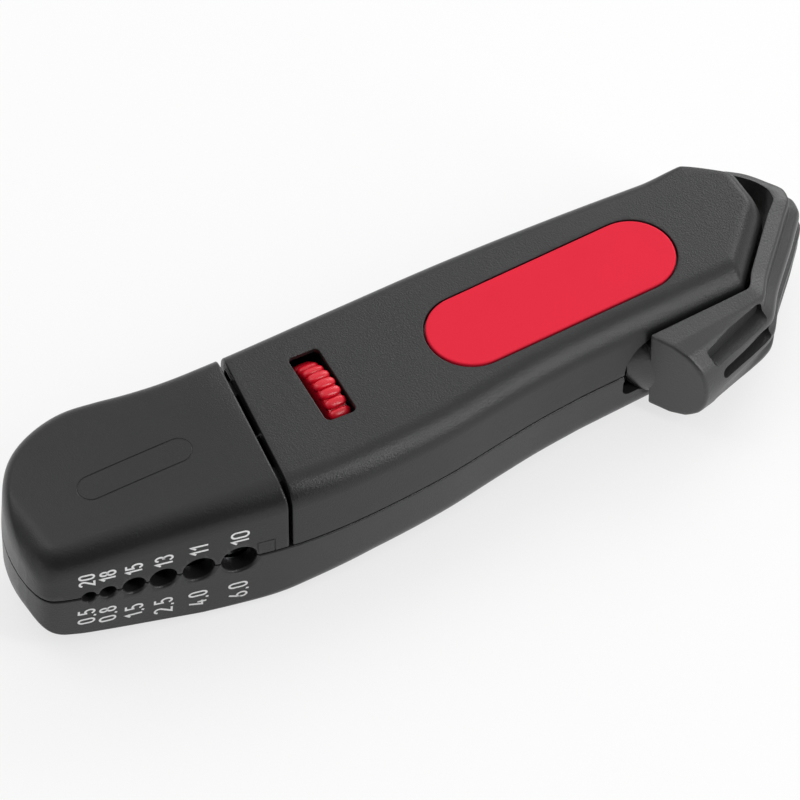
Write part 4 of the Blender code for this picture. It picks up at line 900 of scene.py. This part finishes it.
# closed outline with each corner cut to a small round
def softened(outline, radius):
    points = []
    for i, here in enumerate(outline):
        toBefore, toAfter = outline[i - 1] - here, outline[(i + 1) % len(outline)] - here
        cut = min(radius, 0.4 * toBefore.length, 0.4 * toAfter.length)
        first, last = here + toBefore.normalized() * cut, here + toAfter.normalized() * cut
        points += [first, (first + last + 2 * here) / 4, last]
    return points


def bailRing(row, shrink=0.0):
    inner, outer = Vector((row[0], row[1], 0)), Vector((row[2], row[3], 0))
    outward = (outer - inner).normalized()
    half = bailProfile(row[4], (outer - inner).length)
    belly = 1 + bail["belly"] * row[4]
    outline = [Vector(p) for p in half] + [Vector((x, -z * belly)) for x, z in reversed(half[:-1])]
    ring = softened(outline, bail["edgeRound"])
    if shrink:
        reach = half[-1][0] / 2
        centre = Vector((reach, 0))
        ring = [centre + Vector(((p.x - centre.x) * (1 - shrink / reach),
                                 p.y * (1 - shrink / bail["halfHeight"]))) for p in ring]
    return [inner + outward * p.x + Vector((0, 0, p.y)) for p in ring]


def bailRings():
    rows = []
    for index in range(len(bailRows) - 1):
        for t in (step / bail["between"] for step in range(bail["between"])):
            rows.append(tuple(between(bailRows, index, t, column) for column in range(5)))
    rows.append(bailRows[-1])
    rings = [bailRing(row) for row in rows]
    # small rounds at both ends take the place of the rings that lie within them
    radius = bail["endRound"]
    for start, following in ((rows[0], rows[1]), (rows[-1], rows[-2])):
        step = Vector(following[:4]) - Vector(start[:4])
        length = Vector((following[0] - start[0], following[1] - start[1])).length
        ends = []
        for sine, cosine in quarter(3)[:-1]:
            moved = Vector(start[:4]) + step * (radius * (1 - cosine) / length)
            ends.append(bailRing((*moved, start[4]), radius * (1 - sine)))
        ends.append(bailRing((*(Vector(start[:4]) + step * (radius / length)), start[4])))
        corner = bailRing(start)[0]
        kept = [ring for ring in rings if (ring[0] - corner).length > radius * bail["endClear"]]
        rings = (ends + kept)[::-1]
    return rings


def notchTool(start, end, low, high, depth, tilt):
    first, last = bailRows[2], bailRows[4]
    turn = atan2(last[3] - first[3], last[2] - first[2])
    start, end = ((tailX + x - first[2]) / cos(turn) for x in (start, end))
    where = (Matrix.Translation((first[2], first[3], 0)) @ Matrix.Rotation(turn, 4, "Z")
             @ Matrix.Translation(((start + end) / 2, 0, (low + high) / 2))
             @ turnedUp @ Matrix.Rotation(-radians(tilt), 4, "Z"))
    corner = min(bail["notchCorner"], 0.45 * (high - low))
    outline = roundedRectangle(end - start, high - low, corner, 5)
    return prismTool(outline, -bail["notchOutside"], depth, where)


def neckMesh():
    return meshFromRings([[
        Vector((tailX + along, nearRear + bail["neckY"] + (bail["neckY"] - outerY) * cosine,
                middle + half * sine)) for cosine, sine in circle(32)]
        for along, outerY, middle, half in bail["neck"]])


def makeBail():
    body = newPiece("bailBody", meshFromRings(bailRings()))
    start = guides["footStart"]
    foot = boxTool((start, bailRows[0][1] - bail["footRoot"], -guides["footHalf"]),
                   (start + bail["footLength"], guides["footInnerY"], guides["footHalf"]))
    neck = newPiece("neckTool", neckMesh())
    carve(body, [foot, neck], "UNION")
    bore = rodTool(start - overrun, start + bail["rodSeat"] + gap, bail["rodRadius"] + gap, rodLine)
    pinHole = rodTool(-bail["pinHalf"], bail["pinHalf"], bail["pinRadius"] + gap,
                      downward(rodLine, start + bail["rodSeat"] / 2), 16)
    notches = [notchTool(*notch) for notch in bail["notches"]]
    carve(body, [bore, pinHole] + notches)
    clearAway([foot, neck, bore, pinHole] + notches)
    finishPiece(body, "bail", ["bail"], "bail_plastic", 40)


makeBail()
print("cable knife: bail made")


def newModifierTree(name, inputs):
    inputs = [("Geometry", "NodeSocketGeometry", None)] + inputs
    inputs.append(("Material", "NodeSocketMaterial", None))
    return newGroup(name, inputs, [("Geometry", "NodeSocketGeometry")], "GeometryNodeTree")


# joins the parts, makes instances real and sets the material
def endTree(tree, given, result, parts):
    whole = addNode(tree, "GeometryNodeJoinGeometry")
    for part in parts:
        tree.links.new(socketOf(part), whole.inputs[0])
    real = addNode(tree, "GeometryNodeRealizeInstances", {"Geometry": whole})
    painted = addNode(tree, "GeometryNodeSetMaterial", {"Geometry": real,
                                                        "Material": given["Material"]})
    tree.links.new(painted.outputs[0], result["Geometry"])


# adds the tree, sets its inputs by identifier and bakes the result
def growWith(piece, tree, values):
    modifier = piece.modifiers.new("grow", "NODES")
    modifier.node_group = tree
    for socket in tree.interface.items_tree:
        if socket.name in values:
            modifier[socket.identifier] = values[socket.name]
    bake(piece)


# depth wheel: a drum with rounded ribs set round it
wheel = {
    "drumRadius": 0.00835, "shoulder": 0.0078, "chamfer": 0.0003, "width": 0.0036, "sides": 90,
    "ribs": 30, "ribLength": 0.0041, "ribWidth": 0.0019, "ribHeight": 0.0020, "ribCrease": 0.22,
    "ribSink": 0.0001, "bore": 0.0027,
}


def makeWheel():
    tree, given, result = newModifierTree("ribbedWheel", [
        ("Ribs", "NodeSocketInt", 12), ("Radius", "NodeSocketFloat", 0.01),
        ("Rib Size", "NodeSocketVector", None), ("Crease", "NodeSocketFloat", 0.5)])
    rim = addNode(tree, "GeometryNodeMeshCircle", {"Vertices": given["Ribs"],
                                                   "Radius": given["Radius"]})
    block = addNode(tree, "GeometryNodeMeshCube", {"Size": given["Rib Size"]})
    rib = addNode(tree, "GeometryNodeSubdivisionSurface", {"Mesh": block, "Level": 3,
                                                           "Edge Crease": given["Crease"]})
    spot = addNode(tree, "GeometryNodeInputPosition")
    turn = addNode(tree, "FunctionNodeAlignEulerToVector", {"Vector": spot}, axis="X",
                   pivot_axis="Z")
    ribs = addNode(tree, "GeometryNodeInstanceOnPoints", {"Points": rim, "Instance": rib,
                                                          "Rotation": turn})
    endTree(tree, given, result, [given["Geometry"], ribs])
    half, radius, bore = wheel["width"] / 2, wheel["drumRadius"], wheel["bore"]
    flat = half - wheel["chamfer"]
    drum = [(-half, bore), (-half, wheel["shoulder"]), (-flat, radius), (flat, radius),
            (half, wheel["shoulder"]), (half, bore)]
    body = newPiece("depthWheel", turnedMesh(drum, wheel["sides"], 0.0, True),
                    Matrix.Rotation(-pi / 2, 4, "Y"))
    growWith(body, tree, {"Ribs": wheel["ribs"], "Radius": radius - wheel["ribSink"],
                          "Rib Size": (wheel["ribHeight"], wheel["ribWidth"], wheel["ribLength"]),
                          "Crease": wheel["ribCrease"], "Material": materials["wheel_red"]})
    body.data.transform(spindleFrame @ Matrix.Rotation(pi / 2, 4, "Y"))
    finishPiece(body, "wheel", ["depth_wheel"], "wheel_red", 40)


# housing screws from below, each with a cross recess
def makeScrews():
    tree, given, result = newModifierTree("crossScrews", [
        ("Head Radius", "NodeSocketFloat", 0.0025), ("Head Height", "NodeSocketFloat", 0.0015),
        ("Shank Radius", "NodeSocketFloat", 0.0012), ("Shank Length", "NodeSocketFloat", 0.0144),
        ("Recess Size", "NodeSocketVector", None), ("Recess Across", "NodeSocketVector", None)])

    def cylinder(sides, radius, depth):
        return addNode(tree, "GeometryNodeMeshCylinder", {"Vertices": sides, "Radius": radius,
                                                          "Depth": depth})

    def raised(shape, height):
        offset = addNode(tree, "ShaderNodeCombineXYZ", {"Z": height})
        return addNode(tree, "GeometryNodeTransform", {"Geometry": shape, "Translation": offset})

    head = cylinder(40, given["Head Radius"], given["Head Height"])
    shank = raised(cylinder(24, given["Shank Radius"], given["Shank Length"]),
                   calc(tree, "MULTIPLY", given["Shank Length"], 0.5))
    bottom = calc(tree, "MULTIPLY", given["Head Height"], -0.5)
    bars = [raised(addNode(tree, "GeometryNodeMeshCube", {"Size": given[label]}), bottom)
            for label in ("Recess Size", "Recess Across")]
    screw = addNode(tree, "GeometryNodeMeshBoolean", operation="UNION", solver="EXACT")
    driven = addNode(tree, "GeometryNodeMeshBoolean", {"Mesh 1": screw}, operation="DIFFERENCE",
                     solver="EXACT")
    for part, target in ((head, screw), (shank, screw), (bars[0], driven), (bars[1], driven)):
        tree.links.new(part.outputs[0], target.inputs["Mesh 2"])
    placed = addNode(tree, "GeometryNodeInstanceOnPoints", {"Points": given["Geometry"],
                                                            "Instance": driven})
    endTree(tree, given, result, [placed])
    points = bmesh.new()
    for x, y in screws["places"]:
        seat = -topHeight(x) + screws["counterbore"] - gap
        points.verts.new((x, y, seat - screws["headHeight"] / 2))
    body = newPiece("housingScrews", points)
    deep, long, thin = 2 * screws["recessDepth"], screws["recessLength"], screws["recessWidth"]
    growWith(body, tree, {
        "Head Radius": screws["head"], "Head Height": screws["headHeight"],
        "Shank Radius": screws["shank"], "Shank Length": screws["length"],
        "Recess Size": (long, thin, deep), "Recess Across": (thin, long, deep),
        "Material": materials["zinc_screw"]})
    names = [f"housing_screw_{i + 1}" for i in range(3)]
    finishPiece(body, "housing", names, "zinc_screw", 30)


# a wire wound up the Z axis, added to whatever it is grown on
def coilTree(name, sides):
    tree, given, result = newModifierTree(name, [
        ("Turns", "NodeSocketFloat", 20.0), ("Radius", "NodeSocketFloat", 0.002),
        ("Length", "NodeSocketFloat", 0.01), ("Thread Size", "NodeSocketFloat", 0.0003)])
    winding = addNode(tree, "GeometryNodeCurveSpiral", {
        "Resolution": 20, "Rotations": given["Turns"], "Start Radius": given["Radius"],
        "End Radius": given["Radius"], "Height": given["Length"]})
    crest = addNode(tree, "GeometryNodeCurvePrimitiveCircle", {"Resolution": sides,
                                                               "Radius": given["Thread Size"]})
    wire = addNode(tree, "GeometryNodeCurveToMesh", {"Curve": winding, "Profile Curve": crest,
                                                     "Fill Caps": True})
    endTree(tree, given, result, [given["Geometry"], wire])
    return tree


# spindle with its thread wound round the front part
spindle = {
    "core": 0.0021, "chamfer": 0.0004, "sleeveDepth": 0.0070, "pinHalf": 0.004, "pinRadius": 0.0009,
    "threadInset": 0.0005, "turns": 19.0, "threadMiddle": 0.00212, "threadSize": 0.00025,
}


def makeSpindle():
    core, shaft, inset = spindle["core"], guides["shaftRadius"], spindle["threadInset"]
    start, step = guides["threadStart"], guides["threadEnd"]
    tip = sleeveStart + spindle["sleeveDepth"] - gap
    profile = [(start, core - spindle["chamfer"]), (start + spindle["chamfer"], core), (step, core),
               (step, shaft), (tip, shaft)]
    toStart = Matrix.Translation((start + inset, 0, 0)) @ Matrix.Rotation(pi / 2, 4, "Y")
    body = newPiece("depthSpindle", turnedMesh(profile, 32), toStart.inverted())
    pinPlace = toStart.inverted() @ downward(Matrix(), sleeveStart + spindle["sleeveDepth"] / 2)
    hole = rodTool(-spindle["pinHalf"], spindle["pinHalf"], spindle["pinRadius"], pinPlace, 16)
    carve(body, [hole])
    clearAway([hole])
    growWith(body, coilTree("threadedRod", 6), {
        "Turns": spindle["turns"], "Radius": spindle["threadMiddle"],
        "Length": step - start - 2 * inset, "Thread Size": spindle["threadSize"],
        "Material": materials["steel"]})
    body.data.transform(spindleFrame @ toStart)
    finishPiece(body, "spindle", ["depth_spindle"], "steel", 40)


# the bail's return spring, made here at its rest length; the real spring shortens towards the rod
# bush as the bail is drawn out
spring = {"start": -0.00003, "end": 0.03074, "radius": 0.00215, "wire": 0.00035, "turns": 9.0,
          "travel": 0.0240}


def makeBailSpring():
    body = newPiece("bailSpring", bmesh.new())
    length = spring["end"] - spring["start"]
    growWith(body, coilTree("coiledWire", 10), {
        "Turns": spring["turns"], "Radius": spring["radius"], "Length": length,
        "Thread Size": spring["wire"], "Material": materials["steel"]})
    body.data.transform(downward(rodLine, spring["start"]))
    finishPiece(body, "housing", ["bail_spring"], "steel", 40)
    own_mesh(body)


makeWheel()
makeScrews()
makeSpindle()
makeBailSpring()
print("cable knife: wheel, screws, spindle and spring made")

# centre lines of the figures in a box one high, with its width: points, or arcs as centre,
# radii and two angles
figures = {
    "0": (0.50, [[(0.5, 0.5), (0.25, 0.74, 0.25, 0.26, 0, 180), (0.25, 0.26, 0.25, 0.26, 180, 360),
                  (0.5, 0.5)]]),
    "1": (0.28, [[(0.0, 0.72), (0.28, 1.0), (0.28, 0.0)]]),
    "2": (0.50, [[(0.25, 0.74, 0.25, 0.26, 160, -25), (0.0, 0.0), (0.5, 0.0)]]),
    "3": (0.50, [[(0.24, 0.76, 0.23, 0.24, 160, -85), (0.24, 0.27, 0.26, 0.27, 85, -160)]]),
    "4": (0.52, [[(0.26, 1.0), (0.0, 0.25), (0.52, 0.25)], [(0.36, 0.52), (0.36, 0.0)]]),
    "5": (0.50, [[(0.46, 1.0), (0.06, 1.0), (0.04, 0.54), (0.24, 0.30, 0.26, 0.30, 125, -155)]]),
    "6": (0.50, [[(0.34, 1.0), (0.06, 0.46), (0.25, 0.27, 0.25, 0.27, 180, 520)]]),
    "8": (0.50, [[(0.25, 0.76, 0.21, 0.24, 90, 450)], [(0.25, 0.27, 0.25, 0.27, 90, 450)]]),
    ",": (0.06, [[(0.06, 0.04), (0.0, -0.12)]]),
}
printed = {
    "stroke": 0.00035,
    "spacing": 0.32,       # between centre lines, as a share of the height
    "lift": 0.00003, "sunk": 0.00015, "step": 0.00030,
    # label, distance along the line of holes, height of its middle up the wall, height, length
    "upper": [("20", -0.00020, 0.00399, 0.00265, 0.00275),
              ("18", 0.00315, 0.00399, 0.00275, 0.00240),
              ("15", 0.00734, 0.00407, 0.00290, 0.00230),
              ("13", 0.01217, 0.00419, 0.00305, 0.00250),
              ("11", 0.01785, 0.00473, 0.00309, 0.00218),
              ("10", 0.02438, 0.00530, 0.00307, 0.00300)],
    "lower": [("0,5", -0.00033, -0.00493, 0.00280, 0.00372),
              ("0,8", 0.00304, -0.00557, 0.00282, 0.00378),
              ("1,5", 0.00728, -0.00642, 0.00300, 0.00323),
              ("2,5", 0.01201, -0.00703, 0.00307, 0.00382),
              ("4,0", 0.01756, -0.00730, 0.00310, 0.00367),
              ("6,0", 0.02401, -0.00768, 0.00317, 0.00400)],
}


# one stroke's centre line as points, no more than a step apart
def strokeLine(stroke, moveX, scaleX, scaleY):
    corners = []
    for item in stroke:
        if len(item) == 2:
            corners.append(item)
            continue
        x, y, wide, high, first, last = item
        count = max(int(abs(last - first) / 15), 2)
        for k in range(count + 1):
            angle = radians(first + (last - first) * k / count)
            corners.append((x + wide * cos(angle), y + high * sin(angle)))
    corners = [Vector((moveX + x * scaleX, y * scaleY)) for x, y in corners]
    line = [corners[0]]
    for here, there in zip(corners, corners[1:]):
        count = int((there - here).length / printed["step"]) + 1
        if (there - here).length > 1e-6:
            line += [here.lerp(there, k / count) for k in range(1, count + 1)]
    return line


# a flat ribbon along the stroke, laid on the wall: its front just proud of it, its back sunk in
def strokeRings(line, s, arc):
    half, lift, sunk = printed["stroke"] / 2, printed["lift"], -printed["sunk"]
    rings = []
    for i, point in enumerate(line):
        into = (point - line[i - 1]).normalized() if i else (line[1] - point).normalized()
        onward = (line[i + 1] - point).normalized() if i + 1 < len(line) else into
        across = (into + onward).normalized().orthogonal()
        across *= half / max(across.dot(into.orthogonal()), 0.5)
        left, right = point + across, point - across
        rings.append([wallPoint(s - p.y, arc + p.x, height) for p, height in
                      ((left, lift), (right, lift), (right, sunk), (left, sunk))])
    return rings


def printGroup(name, labels, body):
    whole = bmesh.new()
    for words, s, arc, height, length in labels:
        natural = sum(figures[word][0] for word in words) + printed["spacing"] * (len(words) - 1)
        scaleX = (length - printed["stroke"]) / natural
        scaleY = height - printed["stroke"]
        along = -natural / 2 * scaleX
        for word in words:
            width, strokes = figures[word]
            for stroke in strokes:
                line = [point - Vector((0, scaleY / 2))
                        for point in strokeLine(stroke, along, scaleX, scaleY)]
                mesh = meshFromRings(strokeRings(line, s, arc))
                data = bpy.data.meshes.new("stroke")
                mesh.to_mesh(data)
                mesh.free()
                whole.from_mesh(data)
                bpy.data.meshes.remove(data)
            along += (width + printed["spacing"]) * scaleX
    finishPiece(newPiece(name, whole), body, [], "charcoal_plastic", 30, "printWhite")


printGroup("printedUpper", printed["upper"], "lid")
printGroup("printedLower", printed["lower"], "housing")
print("cable knife: sizes printed")

# finishes of the pieces that are kept from the frame
for name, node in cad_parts.items():
    given = node.data.materials[0].name.split(".")[0] if node.data.materials else "steel"
    node.data.materials.clear()
    node.data.materials.append(materials.get(given, materials["steel"]))

# floor, light and camera
studio = {
    "floorGrey": 0.92, "floorRough": 0.9, "floorSize": 6.0,
    "floorGlow": 0.70,     # how far the floor seen by the camera is pure white
    "skyLow": 0.15, "skyHigh": 0.84, "skyReach": 0.7, "brightSide": (0.62, 0.42, 0.66),
    "darkPatch": (radians(-108), radians(27)),
    "patchReach": (radians(28), radians(50)),
    "patchLevel": 0.02,
    # place, width, height and power
    "lamps": {"key": ((-0.3, 0.45, 0.9), 0.5, 0.5, 1.2),
              "rim": ((0.62, 0.40, 0.46), 0.45, 0.45, 2.1),
              "strip": ((0.336, -0.606, 0.40), 0.12, 0.8, 2.8)},
}
scene = bpy.context.scene


def makeFloor():
    bpy.ops.mesh.primitive_plane_add(size=studio["floorSize"], location=(0, 0, 0))
    floor = bpy.context.object
    floor.name = "floor"
    material = bpy.data.materials.new("paleFloor")
    material.use_nodes = True
    tree = material.node_tree
    shader = tree.nodes["Principled BSDF"]
    shader.inputs["Base Color"].default_value = (studio["floorGrey"],) * 3 + (1,)
    shader.inputs["Roughness"].default_value = studio["floorRough"]
    shader.inputs["Specular IOR Level"].default_value = 0.0
    path = addNode(tree, "ShaderNodeLightPath").outputs
    seen = calc(tree, "MAXIMUM", path["Is Camera Ray"], path["Is Glossy Ray"])
    seen = calc(tree, "MAXIMUM", seen, path["Is Transmission Ray"])
    share = calc(tree, "MULTIPLY", seen, studio["floorGlow"])
    glow = addNode(tree, "ShaderNodeEmission", {"Color": (1, 1, 1, 1), "Strength": 1.0})
    mixed = addNode(tree, "ShaderNodeMixShader", {0: share, 1: shader, 2: glow})
    tree.links.new(mixed.outputs[0], tree.nodes["Material Output"].inputs["Surface"])
    floor.data.materials.append(material)
    return floor


makeFloor()


# the room is bright above and behind the tail, darker to the nose's side, with one soft dark
# patch low in front
def makeWorld():
    world = bpy.data.worlds.new("studio")
    scene.world = world
    world.use_nodes = True
    tree = world.node_tree
    place = addNode(tree, "ShaderNodeTexCoord").outputs["Generated"]

    def smoothStep(direction, low, high, atLow, atHigh):
        dot = addNode(tree, "ShaderNodeVectorMath", {0: place, 1: direction},
                      operation="DOT_PRODUCT").outputs["Value"]
        return addNode(tree, "ShaderNodeMapRange", {0: dot, 1: low, 2: high, 3: atLow, 4: atHigh},
                       interpolation_type="SMOOTHSTEP")

    azimuth, height = studio["darkPatch"]
    patch = (cos(height) * cos(azimuth), cos(height) * sin(azimuth),
             sin(height))
    inner, outer = studio["patchReach"]
    dim = smoothStep(patch, cos(outer), cos(inner), 1.0, studio["patchLevel"])
    slope = smoothStep(studio["brightSide"], -studio["skyReach"], studio["skyReach"],
                       studio["skyLow"], studio["skyHigh"])
    path = addNode(tree, "ShaderNodeLightPath")
    shown = addNode(tree, "ShaderNodeMix", {0: path.outputs["Is Camera Ray"],
                                            2: calc(tree, "MULTIPLY", dim, slope), 3: 1.0})
    background = tree.nodes["Background"]
    background.inputs["Color"].default_value = (1, 1, 1, 1)
    tree.links.new(shown.outputs[0], background.inputs["Strength"])


makeWorld()


def addLamp(name, place, wide, tall, power):
    lamp = bpy.data.lights.new(name, "AREA")
    lamp.shape = "RECTANGLE"
    lamp.size, lamp.size_y = wide, tall
    lamp.energy = power
    holder = bpy.data.objects.new(name, lamp)
    scene.collection.objects.link(holder)
    aim = (-Vector(place).normalized()).to_track_quat("-Z", "Y").to_matrix().to_4x4()
    holder.matrix_world = Matrix.Translation(place) @ aim


for lampName, lampValues in studio["lamps"].items():
    addLamp(lampName, *lampValues)

photoView = {
    "turn": radians(34.04), "fall": radians(51.2), "roll": radians(3.0),
    "distance": 2.1978, "lens": 642.86, "sensor": 36.0, "clip": (0.1, 20.0), "partingZ": 0.01221,
    "pixels": 800,
}


def addCamera():
    turn, fall, roll = photoView["turn"], photoView["fall"], photoView["roll"]
    right = Vector((cos(turn), -sin(turn), 0))
    away = Vector((sin(turn), cos(turn), 0))
    up = Vector((0, 0, 1))
    ahead = cos(fall) * away - sin(fall) * up
    above = sin(fall) * away + cos(fall) * up
    across = cos(roll) * right + sin(roll) * above
    upward = -sin(roll) * right + cos(roll) * above
    pose = Matrix((across, upward, -ahead)).transposed().to_4x4()
    pose.translation = -ahead * photoView["distance"]
    data = bpy.data.cameras.new("camera")
    data.lens = photoView["lens"]
    data.sensor_width = photoView["sensor"]
    data.clip_start, data.clip_end = photoView["clip"]
    camera = bpy.data.objects.new("camera", data)
    scene.collection.objects.link(camera)
    settle = (Matrix.Translation((0, 0, photoView["partingZ"]))
              @ Matrix.Rotation(grip["taper"], 4, "Y"))
    camera.matrix_world = toGround @ settle @ pose
    scene.camera = camera


addCamera()
scene.view_settings.view_transform = "Standard"
scene.render.resolution_x = photoView["pixels"]
scene.render.resolution_y = photoView["pixels"]

print("cable knife: ready")
